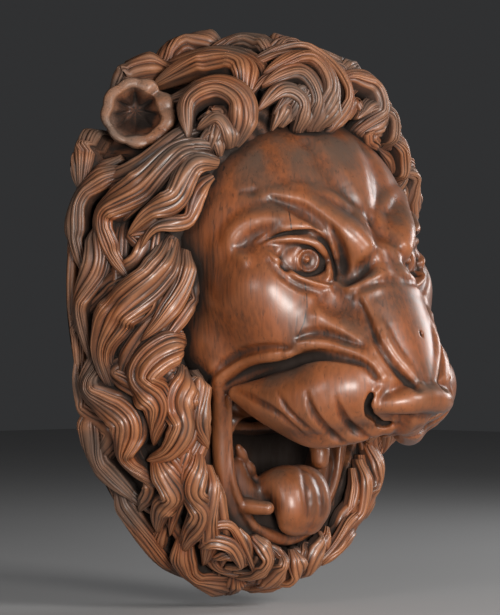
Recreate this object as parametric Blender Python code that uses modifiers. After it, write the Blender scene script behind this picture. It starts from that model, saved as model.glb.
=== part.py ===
"""Lion wall mask carved from one block of wood: a snarling head in a mane of waving locks.

The flat back lies in the plane y = 0 and the head comes forward along -Y, with +Z up. The origin is the
middle of the back. Places are written as (across, out, up): across is positive on the lion's left, out is
the distance from the wall. They are in shares of the mask's height, 500 shares tall, so the whole carving
follows MASK_HEIGHT.
"""

import math

import bmesh
import bpy
from mathutils import Matrix, Vector
from mathutils.bvhtree import BVHTree

# Driving size, in metres. Every other length is in shares of it.
MASK_HEIGHT = 0.500
SHARE = MASK_HEIGHT / 500.0

# How finely the masses are fused and eased, and how many triangles the finished carving keeps. The block
# starts out deeper than the mask by the back allowance, which the wall's plane then cuts off.
HEAD_STEP, HEAD_EASING = 4.5, 10
CARVING_STEP, CARVING_EASING = 3.0, 1
CUP_STEP = 4.5
KEPT_TRIANGLES = 8400
BACK_ALLOWANCE = 9.0
WALL_CUTTER = 700.0

# The mane fills the space between two ovals about a centre: the hairline in front and the rim behind.
MANE_CENTRE_UP = 20.0
HAIR_HALF_WIDTH, HAIR_TOP, HAIR_BOTTOM, HAIR_SQUARENESS = 122.0, 138.0, 236.0, 2.8
RIM_HALF_WIDTH, RIM_TOP, RIM_BOTTOM = 181.0, 222.0, 271.0
HAIR_OUT, HAIR_OUT_AT_CROWN = 98.0, 50.0
MANE_FULLNESS = 2.7
GROUND_UNDER_LOCKS, GROUND_INSIDE_RIM = 17.0, 10.0

# Rounded masses of the head: centre and half sizes. One away from the middle is carved on both sides.
HEAD_MASSES = (
    ((0, 85, 60), (126, 113, 120)),
    ((0, 92, -22), (118, 76, 80)),
    ((77, 138, 12), (43, 49, 43)),
    ((54, 156, -20), (46, 44, 40)),
    ((0, 234, -76), (30, 38, 28)),
    ((0, 40, -140), (92, 62, 84)),
)

# Rolls of the head: places, each with its radius. The bridge is flat on top by the widths given for it.
BROW = (
    ((108, 124, 54), 8), ((88, 150, 68), 12), ((58, 173, 72), 19), ((30, 193, 62), 22),
    ((14, 201, 48), 21),
)
CHEEK_TO_NOSE = (((62, 158, 20), 26), ((48, 184, -14), 30), ((36, 206, -42), 26))
BRIDGE_SIDE = (((28, 182, 22), 24), ((30, 204, -18), 24), ((24, 226, -50), 20))
WHISKER_PAD = (
    ((93, 136, -75), 15), ((82, 162, -79), 24), ((66, 188, -78), 32), ((47, 209, -69), 35),
    ((26, 227, -70), 29),
)
UPPER_LIP = (
    ((92, 136, -84), 9), ((80, 158, -95), 12), ((61, 185, -106), 14), ((40, 209, -106), 13),
    ((16, 226, -101), 12),
)
BRIDGE = (
    ((0, 182, 60), 22), ((0, 198, 30), 24), ((0, 220, -12), 24), ((0, 242, -50), 22),
    ((0, 250, -62), 16),
)
BRIDGE_HALF_FLAT = (14, 18, 20, 10, 5)
NOSE_LEATHER = (((0, 266, -74), 15), ((14, 264, -75), 15), ((34, 254, -78), 13))

# The open mouth, and what stands in and round it.
MOUTH_HOLLOWS = (((0, 96, -140), (64, 74, 62)), ((0, 150, -146), (76, 80, 36)))
NOSTRIL = (((48, 246, -74), 5), ((40, 261, -84), 8), ((30, 257, -96), 7))
JAW_RIM = (
    ((94, 118, -84), 8), ((80, 102, -112), 10), ((72, 95, -142), 11),
    ((57, 95, -174), 12), ((30, 96, -196), 14), ((0, 96, -203), 15),
)
TONGUE = (
    ((9, 50, -140), 18), ((10, 86, -148), 19), ((12, 110, -157), 20), ((12, 114, -176), 19),
    ((8, 110, -193), 14),
)
FANG = (((-54, 80, -172), 8), ((-44, 100, -175), 7.5), ((-36, 114, -177), 6))

# Eyes and the folds of the face, on the face's surface: bearing and height, each with a radius.
EYEBALL = ((64, 166, 43), (22, 23, 20))
UPPER_LID = (((46, 53), 4), ((38, 60), 5), ((29, 61), 6), ((22, 54), 6), ((19, 42), 5), ((20, 30), 4))
LOWER_LID = (((46, 52), 3), ((37, 38), 5), ((29, 29), 5), ((20, 25), 5))
BROW_FOLD = (((56, 60), 5), ((50, 70), 7), ((36, 79), 7), ((24, 76), 8), ((16, 60), 9), ((12, 44), 8))
SNARL_FOLD = (
    ((62, -54), 6), ((51, -43), 9), ((38, -36), 10), ((26, -30), 10), ((18, -34), 9),
    ((13, -46), 8),
)

# The folds are placed by bearings about an upright axis this far out from the wall, 0 being straight ahead,
# and they sink into the skin by a share of their radius.
FACE_AXIS_OUT = 60.0
FOLD_SINK = 0.3

# One ear on each side: the middle of its ring, the way that it opens, the ring, and the cup inside it. A ball
# behind the ring joins it to the mane.
EAR_PLACE, EAR_OPENS = (135, 42, 177), (1.0, 1.0, 0.15)
EAR_RADIUS, EAR_RIM, EAR_CUP_DEPTH = 25.0, 6.5, 22.0
EAR_CUP_RADIUS = EAR_RADIUS - 0.9 * EAR_RIM
EAR_BACKING, EAR_BACKING_BEHIND = 30.0, 18.0

# Locks of hair: width, lift above the mane's surface, and a route of (angle, reach). The angle is round the
# mane, 0 on the lion's left and 90 at the crown. The reach is 0 at the hairline and 1 at the rim.
SIDE_LOCKS = (
    (32, 12, ((134, 0.16), (138, 0.40), (151, 0.58), (160, 0.80), (170, 0.72), (178, 0.56))),
    (24, 16, ((136, 0.10), (141, 0.28), (152, 0.30), (158, 0.46), (165, 0.60))),
    (40, 12, ((163, 0.16), (178, 0.34), (187, 0.64), (197, 0.80), (209, 0.78))),
    (20, 12, ((166, 0.05), (180, 0.12), (190, 0.28), (196, 0.48))),
    (38, 12, ((201, 0.02), (199, 0.24), (205, 0.50), (215, 0.40), (224, 0.54))),
    (34, 10, ((209, 0.05), (215, 0.22), (223, 0.22), (227, 0.38), (227, 0.64))),
    (22, 10, ((212, -0.03), (219, 0.05), (226, 0.08), (234, 0.03))),
    (24, 10, ((146, 0.80), (154, 0.96), (166, 0.97), (176, 0.92))),
    (26, 8, ((160, 0.88), (173, 0.82), (185, 0.93), (200, 0.91))),
    (34, 12, ((198, 0.88), (208, 0.90), (216, 0.68), (225, 0.78), (234, 0.62))),
    (28, 6, ((212, 0.96), (226, 0.98), (236, 0.88))),
    (24, 10, ((226, 0.58), (236, 0.48), (238, 0.66), (244, 0.82))),
    (24, 10, ((232, 0.10), (237, 0.33), (243, 0.33), (246, 0.54), (250, 0.74))),
    (20, 8, ((238, 0.04), (244, 0.30), (249, 0.42), (255, 0.70))),
    (14, 12, ((250, 0.46), (249, 0.28), (253, 0.13), (258, 0.22), (257, 0.40))),
    (26, 3, ((232, 0.97), (246, 0.94), (262, 0.96))),
    (24, 6, ((127, 0.97), (138, 1.00), (148, 0.98))),
    (18, 8, ((259, 0.00), (263, 0.12), (263, 0.34), (262, 0.60))),
)
CROWN_LOCKS = (
    (26, 6, ((113, 0.90), (120, 1.00), (129, 1.00))),
    (30, 6, ((99, 0.86), (105, 0.97), (114, 0.96))),
    (28, 16, ((116, 0.34), (110, 0.52), (113, 0.72), (120, 0.90))),
    (24, 12, ((98, 0.52), (97, 0.66), (99, 0.78), (106, 0.84))),
    (30, 20, ((129, 0.10), (120, 0.28), (120, 0.48), (127, 0.57), (135, 0.44))),
    (18, 14, ((130, 0.10), (127, 0.32), (132, 0.42))),
    (30, 26, ((99, 0.00), (94, 0.18), (97, 0.36), (108, 0.40))),
    (24, 22, ((101, 0.00), (98, 0.14), (101, 0.30), (111, 0.33))),
    (20, 16, ((105, 0.00), (103, 0.14), (108, 0.24), (117, 0.20))),
    (30, 20, ((73, 0.00), (69, 0.12), (73, 0.27), (82, 0.31), (87, 0.24))),
    (24, 20, ((58, -0.06), (60, 0.06), (66, 0.16), (74, 0.15), (78, 0.06))),
    (24, 18, ((41, -0.06), (45, 0.05), (55, 0.10), (66, 0.04))),
    (24, 12, ((92, 0.38), (84, 0.38), (77, 0.28))),
    (26, 12, ((100, 0.58), (93, 0.60), (85, 0.48))),
    (28, 12, ((78, 0.44), (70, 0.60), (60, 0.58))),
    (28, 10, ((90, 0.74), (78, 0.82), (66, 0.78))),
    (28, 10, ((60, 0.34), (52, 0.46), (44, 0.42))),
    (30, 6, ((88, 0.93), (77, 0.98), (66, 0.96))),
    (26, 6, ((62, 0.94), (54, 1.00), (46, 1.00))),
)
BEARD_LOCKS = (
    (20, 8, ((268, -0.04), (268, 0.12), (267, 0.36), (269, 0.66))),
)

# A lock widens from its root and narrows over its tip. It rises from the mane in an arch, of which it shows
# the part between two shares. Its thickness is a share of its width, and its sink one of its thickness.
LOCK_ROOT, LOCK_WIDENING = 0.72, 1.4
LOCK_TIP, LOCK_BLUNTNESS, LOCK_TAPER = 0.30, 0.04, 0.6
LOCK_ARCH_START, LOCK_ARCH_END = 0.15, 0.90
LOCK_THICKNESS, LOCK_THICKNESS_AT_TIP, LOCK_SINK = 0.56, 0.35, 0.75
LOCK_SIDES, LOCK_STEPS = 8, 6

WOOD_COLOUR = (0.19, 0.075, 0.034, 1.0)
WOOD_ROUGHNESS = 0.42


def place(across, out, up):
    """A place in shares of the height as a point in metres."""
    return Vector((across, -out, up)) * SHARE


def curve_through(points, per_span):
    """A smooth run of points through the given ones (Catmull-Rom), as vectors of any length."""
    ends = [2 * points[0] - points[1], *points, 2 * points[-1] - points[-2]]
    run = []
    for a, b, c, d in zip(ends, ends[1:], ends[2:], ends[3:]):
        for step in range(per_span):
            t = step / per_span
            run.append(0.5 * (2 * b + (c - a) * t + (2 * a - 5 * b + 4 * c - d) * t**2
                              + (3 * b - a - 3 * c + d) * t**3))
    run.append(points[-1].copy())
    return run


class Masses:
    """Closed forms heaped together before they are fused."""

    def __init__(self):
        self.points = []
        self.faces = []
        ball = bmesh.new()
        bmesh.ops.create_uvsphere(ball, u_segments=16, v_segments=10, radius=1.0)
        self.ball_points = [vert.co.copy() for vert in ball.verts]
        self.ball_faces = [[vert.index for vert in face.verts] for face in ball.faces]
        ball.free()

    def add(self, points, faces):
        start = len(self.points)
        self.points.extend(points)
        self.faces.extend([start + i for i in face] for face in faces)

    def add_ball(self, matrix):
        self.add([matrix @ point for point in self.ball_points], self.ball_faces)

    def add_ellipsoid(self, centre, half_sizes, mirrored=True):
        for side in (-1, 1) if mirrored and centre[0] else (1,):
            size = Matrix.Diagonal((*(half * SHARE for half in half_sizes), 1.0))
            self.add_ball(Matrix.Translation(place(side * centre[0], *centre[1:])) @ size)

    def add_beads(self, centres, radii):
        """Overlapping balls close enough together to read as one roll."""
        for centre, radius in zip(centres, radii):
            self.add_ball(Matrix.Translation(centre) @ Matrix.Scale(radius, 4))

    def add_roll(self, stations, mirrored=True, half_flats=None):
        """A tapering roll through stations of a place and a radius, flat on top by twice each half flat."""
        flats = half_flats or [0] * len(stations)
        route = [Vector((*centre, radius, flat)) for (centre, radius), flat in zip(stations, flats)]
        run = curve_through(route, 5)
        for side in (-1, 1) if mirrored else (1,):
            for offset in (-1, -0.5, 0, 0.5, 1) if half_flats else (0,):
                centres = [place(side * p[0] + offset * p[4], p[1], p[2]) for p in run]
                self.add_beads(centres, [p[3] * SHARE for p in run])

    def add_loft(self, rings):
        """A closed skin over rings of as many points each."""
        count = len(rings[0])
        faces = [list(range(count))[::-1], list(range(count * (len(rings) - 1), count * len(rings)))]
        for row in range(len(rings) - 1):
            for i in range(count):
                j = (i + 1) % count
                faces.append([row * count + i, row * count + j, (row + 1) * count + j, (row + 1) * count + i])
        self.add([point for ring in rings for point in ring], faces)

    def mesh(self, name):
        mesh = bpy.data.meshes.new(name)
        mesh.from_pydata(self.points, [], self.faces)
        return mesh


def fused(name, masses, step, smoothing):
    """An object whose overlapping masses are fused into one skin and eased together."""
    solid = bpy.data.objects.new(name, masses.mesh(name))
    bpy.context.scene.collection.objects.link(solid)
    fuse = solid.modifiers.new("Fuse", "REMESH")
    fuse.mode = "VOXEL"
    fuse.voxel_size = step * SHARE
    if smoothing:
        ease = solid.modifiers.new("Ease", "SMOOTH")
        ease.factor = 0.5
        ease.iterations = smoothing
    return solid


def settled(solid):
    """The object's mesh with its modifiers carried out. The object itself is removed."""
    graph = bpy.context.evaluated_depsgraph_get()
    mesh = bpy.data.meshes.new_from_object(solid.evaluated_get(graph))
    bpy.data.objects.remove(solid)
    return mesh


def hidden(tool, collection):
    """The cutter in its collection, shown as wires and left out of a render."""
    collection.objects.link(tool)
    tool.display_type = "WIRE"
    tool.hide_render = True
    return tool


def cutter(name, masses, step, collection):
    """A hidden object of what is hollowed out."""
    tool = fused(name, masses, step, 0)
    bpy.context.scene.collection.objects.unlink(tool)
    return hidden(tool, collection)


def cut(solid, tool):
    hollow = solid.modifiers.new("Hollow", "BOOLEAN")
    hollow.operation = "DIFFERENCE"
    hollow.object = tool


def oval_radius(angle, half_width, top, bottom, squareness):
    """Distance from the mane's centre to an oval. Only its upper half is squared."""
    tall, power = (top, squareness) if math.sin(angle) >= 0 else (bottom, 2.0)
    along = abs(math.cos(angle) / half_width) ** power + abs(math.sin(angle) / tall) ** power
    return along ** (-1.0 / power)


def mane_place(degrees, reach, lift=0.0):
    """A place on the mane's surface, or lifted from it. The reach is 0 at the hairline and 1 at the rim."""
    angle = math.radians(degrees)
    hair = oval_radius(angle, HAIR_HALF_WIDTH, HAIR_TOP, HAIR_BOTTOM, HAIR_SQUARENESS)
    rim = oval_radius(angle, RIM_HALF_WIDTH, RIM_TOP, RIM_BOTTOM, 2.0)
    quarter = math.pi / 2 * min(max(reach, 0.0), 1.0)
    radius = hair + (rim - hair) * math.sin(quarter) ** (2 / MANE_FULLNESS)
    hair_out = HAIR_OUT + HAIR_OUT_AT_CROWN * max(math.sin(angle), 0.0) ** 2
    out = hair_out * max(math.cos(quarter), 0.0) ** (2 / MANE_FULLNESS)
    spot = place(radius * math.cos(angle), out, MANE_CENTRE_UP + radius * math.sin(angle))
    return spot + mane_normal(degrees, reach) * lift * SHARE if lift else spot


def mane_normal(degrees, reach):
    """The way out of the mane's surface."""
    reach = min(max(reach, 0.02), 0.98)
    round_it = mane_place(degrees + 0.5, reach) - mane_place(degrees - 0.5, reach)
    outward = mane_place(degrees, reach + 0.01) - mane_place(degrees, reach - 0.01)
    return outward.cross(round_it).normalized()


def add_mane_ground(masses):
    """The block that the locks stand on, a little under the mane's surface and closed in front."""
    angles = range(0, 360, 5)
    rings = []
    for out_behind in (BACK_ALLOWANCE, 0.0):
        behind = place(0, -out_behind, 0)
        rings.append([mane_place(angle, 1.0, -GROUND_INSIDE_RIM) + behind for angle in angles])
    for step in range(9, -1, -1):
        rings.append([mane_place(angle, step / 10, -GROUND_UNDER_LOCKS) for angle in angles])
    middle = place(0, HAIR_OUT, MANE_CENTRE_UP)
    rings.append([point.lerp(middle, 0.8) for point in rings[-1]])
    masses.add_loft(rings)


def lock_shares(along):
    """How wide and how far lifted a lock is, as shares of its most, at a share of its length."""
    widening = min(1.0, LOCK_ROOT + LOCK_WIDENING * along)
    narrowing = min(1.0, (1.0 + LOCK_BLUNTNESS - along) / LOCK_TIP) ** LOCK_TAPER
    arch = LOCK_ARCH_START + (LOCK_ARCH_END - LOCK_ARCH_START) * along
    return widening * narrowing, math.sqrt(math.sin(math.pi * arch))


def add_lock(masses, width, lift, route, mirrored=False):
    """A waving lock: full where it leaves the skin, tapering to a point that turns with its route."""
    points = [Vector((180 - angle if mirrored else angle, reach)) for angle, reach in route]
    run = curve_through(points, LOCK_STEPS)
    last = len(run) - 1
    rings = []
    for i, (angle, reach) in enumerate(run):
        before, after = run[max(i - 1, 0)], run[min(i + 1, last)]
        along = (mane_place(*after) - mane_place(*before)).normalized()
        outward = mane_normal(angle, reach)
        sideways = along.cross(outward).normalized()
        taper, rise = lock_shares(i / last)
        thickness = width * LOCK_THICKNESS
        centre = mane_place(angle, reach, lift * rise - thickness * LOCK_SINK)
        across = sideways * 0.5 * width * taper * SHARE
        up = outward * thickness * (LOCK_THICKNESS_AT_TIP + (1 - LOCK_THICKNESS_AT_TIP) * taper) * SHARE
        turns = [2 * math.pi * side / LOCK_SIDES for side in range(LOCK_SIDES)]
        rings.append([centre + across * math.cos(turn) + up * math.sin(turn) for turn in turns])
    masses.add_loft(rings)


class Face:
    """The head's skin, which says where a fold at a bearing and a height lies."""

    def __init__(self, mesh):
        skin = bmesh.new()
        skin.from_mesh(mesh)
        self.tree = BVHTree.FromBMesh(skin)
        skin.free()

    def spot(self, bearing, up):
        angle = math.radians(bearing)
        away = Vector((math.sin(angle), -math.cos(angle), 0.0))
        start = place(0, FACE_AXIS_OUT, up) + away * MASK_HEIGHT
        return self.tree.ray_cast(start, -away)[0]

    def add_fold(self, masses, stations):
        """A roll lying on the skin of both sides through stations of a bearing and height with a radius."""
        run = curve_through([Vector((*where, radius)) for where, radius in stations], 5)
        for side in (-1, 1):
            centres = []
            for bearing, up, radius in run:
                spot = self.spot(side * bearing, up)
                inward = place(0, FACE_AXIS_OUT, up) - spot
                centres.append(spot + inward.normalized() * radius * FOLD_SINK * SHARE)
            masses.add_beads(centres, [p[2] * SHARE for p in run])


def ear_axes(side):
    """The ear's middle and the ways out of it, across it and up it."""
    outward = Vector((side * EAR_OPENS[0], -EAR_OPENS[1], EAR_OPENS[2])).normalized()
    across = outward.cross(Vector((0, 0, 1))).normalized()
    return place(side * EAR_PLACE[0], *EAR_PLACE[1:]), outward, across, across.cross(outward)


def add_ears(masses):
    for side in (-1, 1):
        middle, outward, across, up = ear_axes(side)
        ring = []
        for step in range(24):
            a = 2 * math.pi * step / 24
            ring.append(middle + (across * math.cos(a) + up * math.sin(a)) * EAR_RADIUS * SHARE)
        masses.add_beads(ring, [EAR_RIM * SHARE] * len(ring))
        backing = middle - outward * EAR_BACKING_BEHIND * SHARE
        masses.add_beads([backing], [EAR_BACKING * SHARE])


def head_mesh(cutters):
    """The head with its brow, nose and lips fused together and the mouth hollowed out."""
    masses = Masses()
    add_mane_ground(masses)
    for centre, half_sizes in HEAD_MASSES:
        masses.add_ellipsoid(centre, half_sizes)
    for stations in (BROW, CHEEK_TO_NOSE, BRIDGE_SIDE, WHISKER_PAD, UPPER_LIP, NOSE_LEATHER):
        masses.add_roll(stations)
    masses.add_roll(BRIDGE, mirrored=False, half_flats=BRIDGE_HALF_FLAT)
    head = fused("head", masses, HEAD_STEP, HEAD_EASING)
    hollow = Masses()
    for centre, half_sizes in MOUTH_HOLLOWS:
        hollow.add_ellipsoid(centre, half_sizes)
    cut(head, cutter("mouth_hollow", hollow, HEAD_STEP, cutters))
    return settled(head)


def add_details(masses, face):
    """What is carved on the head: the mouth's rim and tongue, the eyes, the folds, the ears and the locks."""
    masses.add_roll(JAW_RIM)
    masses.add_roll(TONGUE)
    masses.add_roll(FANG, mirrored=False)
    masses.add_ellipsoid(*EYEBALL)
    for stations in (UPPER_LID, LOWER_LID, BROW_FOLD, SNARL_FOLD):
        face.add_fold(masses, stations)
    add_ears(masses)
    for mirrored in (False, True):
        for width, lift, route in SIDE_LOCKS + BEARD_LOCKS:
            add_lock(masses, width, lift, route, mirrored)
    for width, lift, route in CROWN_LOCKS:
        add_lock(masses, width, lift, route)


def wood():
    material = bpy.data.materials.new("carved_wood")
    material.use_nodes = True
    shader = material.node_tree.nodes["Principled BSDF"]
    shader.inputs["Base Color"].default_value = WOOD_COLOUR
    shader.inputs["Roughness"].default_value = WOOD_ROUGHNESS
    shader.inputs["Metallic"].default_value = 0.0
    return material


def facet(solid):
    """Lightens the fused skin to the triangles that the carving keeps."""
    graph = bpy.context.evaluated_depsgraph_get()
    faces = len(solid.evaluated_get(graph).data.polygons)
    lighten = solid.modifiers.new("Facets", "DECIMATE")
    lighten.ratio = KEPT_TRIANGLES / (2 * faces)


def cups_and_nostrils(cutters):
    """What is hollowed out of the ears and the nose."""
    hollow = Masses()
    for side in (-1, 1):
        middle, outward, across, up = ear_axes(side)
        turn = Matrix((across, up, outward)).transposed().to_4x4()
        size = Matrix.Diagonal((EAR_CUP_RADIUS * SHARE, EAR_CUP_RADIUS * SHARE, EAR_CUP_DEPTH * SHARE, 1.0))
        hollow.add_ball(Matrix.Translation(middle + outward * EAR_RIM * SHARE) @ turn @ size)
    hollow.add_roll(NOSTRIL)
    return cutter("cups_and_nostrils", hollow, CUP_STEP, cutters)


def behind_the_wall(cutters):
    """Everything behind the plane of the wall."""
    half = WALL_CUTTER / 2
    block = bmesh.new()
    bmesh.ops.create_cube(block, size=WALL_CUTTER * SHARE, matrix=Matrix.Translation(place(0, -half, 0)))
    mesh = bpy.data.meshes.new("behind_the_wall")
    block.to_mesh(mesh)
    block.free()
    return hidden(bpy.data.objects.new("behind_the_wall", mesh), cutters)


def build_mask():
    for old in list(bpy.data.objects):
        bpy.data.objects.remove(old)
    parts = bpy.data.collections.new("lion_wall_mask")
    cutters = bpy.data.collections.new("cutters")
    bpy.context.scene.collection.children.link(parts)
    bpy.context.scene.collection.children.link(cutters)

    head = head_mesh(cutters)
    masses = Masses()
    masses.add([vert.co.copy() for vert in head.vertices], [list(face.vertices) for face in head.polygons])
    add_details(masses, Face(head))
    mask = fused("lion_mask", masses, CARVING_STEP, CARVING_EASING)
    bpy.context.scene.collection.objects.unlink(mask)
    parts.objects.link(mask)
    facet(mask)
    cut(mask, cups_and_nostrils(cutters))
    cut(mask, behind_the_wall(cutters))
    mask.data.materials.append(wood())


build_mask()
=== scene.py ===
"""Dresses the lion wall mask: waxed, hand-carved wood in place of the plain solid.

Lengths in the classes are millimetres. A place is (across, out, up): across is positive on the lion's left,
and out is the distance from the wall. A place on the face is also given as the three-quarter view from the
lion's right sees it: (across, up), both square to a line of sight that meets the wall at 45 degrees.
"""
from __future__ import annotations

import logging
import math
from dataclasses import dataclass, field, replace
from enum import Enum

import bpy
import numpy as np
import openvdb
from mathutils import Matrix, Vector

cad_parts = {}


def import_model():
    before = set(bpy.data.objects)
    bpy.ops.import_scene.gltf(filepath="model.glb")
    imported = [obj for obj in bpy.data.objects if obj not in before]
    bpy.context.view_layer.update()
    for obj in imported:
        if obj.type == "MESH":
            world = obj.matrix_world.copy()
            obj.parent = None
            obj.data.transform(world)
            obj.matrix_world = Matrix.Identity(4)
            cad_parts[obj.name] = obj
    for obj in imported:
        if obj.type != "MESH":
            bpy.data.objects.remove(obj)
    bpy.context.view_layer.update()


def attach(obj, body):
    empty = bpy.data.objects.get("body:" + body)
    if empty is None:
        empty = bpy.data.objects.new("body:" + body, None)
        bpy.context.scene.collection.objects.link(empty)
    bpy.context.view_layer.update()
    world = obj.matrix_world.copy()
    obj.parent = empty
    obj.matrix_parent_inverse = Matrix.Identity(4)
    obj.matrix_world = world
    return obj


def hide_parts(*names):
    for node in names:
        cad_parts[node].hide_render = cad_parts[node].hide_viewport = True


LOG = logging.getLogger("lion_mask")
MM = 0.001
NODE = "lion_mask"

# Far off is the distance that an empty block holds. A lock or an ear stays at least off the wall.
FAR_OFF = 60.0
OFF_THE_WALL = 0.4

# Averages along each axis that act together as one over a ball, and the ball's radius for a half width of 1.
AVERAGES, BALL_PER_HALF_WIDTH = 3, 1.8

# What nothing is divided by less than: a vector's length, and a slope or the square of a run.
LEAST_LENGTH, LEAST_SLOPE = 1e-9, 1e-6

Place = tuple[float, float, float]
Sizes = tuple[float, float, float]
Colour = tuple[float, float, float]
Seen = tuple[float, float]
Spot = tuple[float, float]
Range = tuple[float, float]
Ball = tuple[Place, Sizes, float]


class Side(Enum):
    """A side of the lion, as the sign of its across."""

    RIGHT = -1
    LEFT = 1


def curve_through(points: np.ndarray, per_span: int) -> np.ndarray:
    """Runs a smooth curve (Catmull-Rom) through points.

    Args:
        points: One row for each point, of any width.
        per_span: Steps between two neighbouring points.

    Returns:
        The rows along the curve, both ends included.
    """
    rows = np.asarray(points, float)
    rows = np.vstack([2 * rows[0] - rows[1], rows, 2 * rows[-1] - rows[-2]])
    t = (np.arange(per_span) / per_span)[:, None]
    spans = [
        0.5 * (2 * b + (c - a) * t + (2 * a - 5 * b + 4 * c - d) * t**2 + (3 * b - a - 3 * c + d) * t**3)
        for a, b, c, d in zip(rows, rows[1:], rows[2:], rows[3:])
    ]
    return np.vstack([*spans, rows[-2:-1]])


def unit(vectors: np.ndarray) -> np.ndarray:
    """The vectors at length one."""
    return vectors / np.maximum(np.linalg.norm(vectors, axis=-1, keepdims=True), LEAST_LENGTH)


def smooth_step(low: float, high: float, value: np.ndarray) -> np.ndarray:
    """Rises smoothly from 0 at low to 1 at high."""
    t = np.clip((value - low) / (high - low), 0.0, 1.0)
    return t * t * (3 - 2 * t)


def interpolated(grid: np.ndarray, spots: np.ndarray) -> np.ndarray:
    """Reads a grid between its cells.

    Args:
        grid: A block of values.
        spots: Rows of places, counted in cells.

    Returns:
        The value at each spot.
    """
    first = np.clip(np.floor(spots).astype(int), 0, np.array(grid.shape) - 2)
    t = np.clip(spots - first, 0, 1)
    total = np.zeros(len(spots))
    for corner in np.ndindex(2, 2, 2):
        total += np.prod(np.where(corner, t, 1 - t), axis=1) * grid[tuple((first + corner).T)]
    return total


def blurred(grid: np.ndarray, radius: float) -> np.ndarray:
    """Averages a grid over what is nearly a ball round each cell.

    Args:
        grid: A block of values.
        radius: The ball's radius in cells.

    Returns:
        A block of averages.
    """
    half = max(1, round(radius / BALL_PER_HALF_WIDTH))
    for _ in range(AVERAGES):
        for axis in range(3):
            rows = np.moveaxis(grid, axis, 0)
            pad = np.concatenate([rows[:1]] * half + [rows] + [rows[-1:]] * half)
            sums = np.concatenate([np.zeros_like(pad[:1]), np.cumsum(pad, axis=0, dtype=np.float64)])
            means = (sums[2 * half + 1:] - sums[:-2 * half - 1]) / (2 * half + 1)
            grid = np.moveaxis(means, 0, axis)
    return grid.astype(np.float32)


def eased_union(a: np.ndarray, b: np.ndarray, ease: float) -> np.ndarray:
    """Joins two distance fields, rounded where they meet.

    Args:
        a: One field.
        b: The other.
        ease: The width that is rounded, or 0 for a sharp corner.

    Returns:
        The field of both together.
    """
    if ease <= 0:
        return np.minimum(a, b)
    h = np.clip(0.5 + 0.5 * (b - a) / ease, 0.0, 1.0)
    return b + (a - b) * h - ease * h * (1 - h)


@dataclass
class Skin:
    """A mesh in the making: places in millimetres, faces of four corners, and what its surface went through.

    groove runs from -1 on a sharp edge, over 0, to 1 in a cut. Above 0 it darkens the colour as stain and
    painted shade, below 0 it lightens it as wear and a painted highlight. lay counts millimetres across and
    along the hair, where there is any. joint counts millimetres from a glued joint, where there is one.
    """

    places: np.ndarray
    quads: np.ndarray
    groove: np.ndarray
    lay: np.ndarray | None = None
    joint: np.ndarray | None = None

    def __post_init__(self) -> None:
        """Gives a skin without hair the places themselves to count from."""
        if self.lay is None:
            self.lay = self.places

    @staticmethod
    def joined(parts: list["Skin"]) -> "Skin":
        """Puts several skins together, which stay as they are.

        Args:
            parts: The skins.

        Returns:
            One skin that holds them all.
        """
        starts = np.cumsum([0] + [len(part.places) for part in parts[:-1]])
        return Skin(
            np.vstack([part.places for part in parts]),
            np.vstack([part.quads + start for part, start in zip(parts, starts)]),
            np.concatenate([part.groove for part in parts]),
            np.vstack([part.lay for part in parts]),
        )

    def normals(self) -> np.ndarray:
        """Works out which way the surface looks.

        Returns:
            The way out at each place.
        """
        corners = self.places[self.quads]
        faces = np.cross(corners[:, 2] - corners[:, 0], corners[:, 3] - corners[:, 1])
        sums = np.zeros_like(self.places)
        for k in range(4):
            np.add.at(sums, self.quads[:, k], faces)
        return unit(sums)

    def volume(self) -> float:
        """Measures what the skin closes in.

        Returns:
            The volume, negative where the faces look inwards.
        """
        a, b, c, d = (self.places[self.quads[:, k]] for k in range(4))
        halves = (np.einsum("ij,ij->i", a, np.cross(b, c)), np.einsum("ij,ij->i", a, np.cross(c, d)))
        return float((halves[0] + halves[1]).sum() / 6)

    def facing_out(self) -> "Skin":
        """Turns the faces round if they look inwards.

        Returns:
            The skin itself.
        """
        if self.volume() < 0:
            self.quads = self.quads[:, ::-1]
        return self


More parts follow.
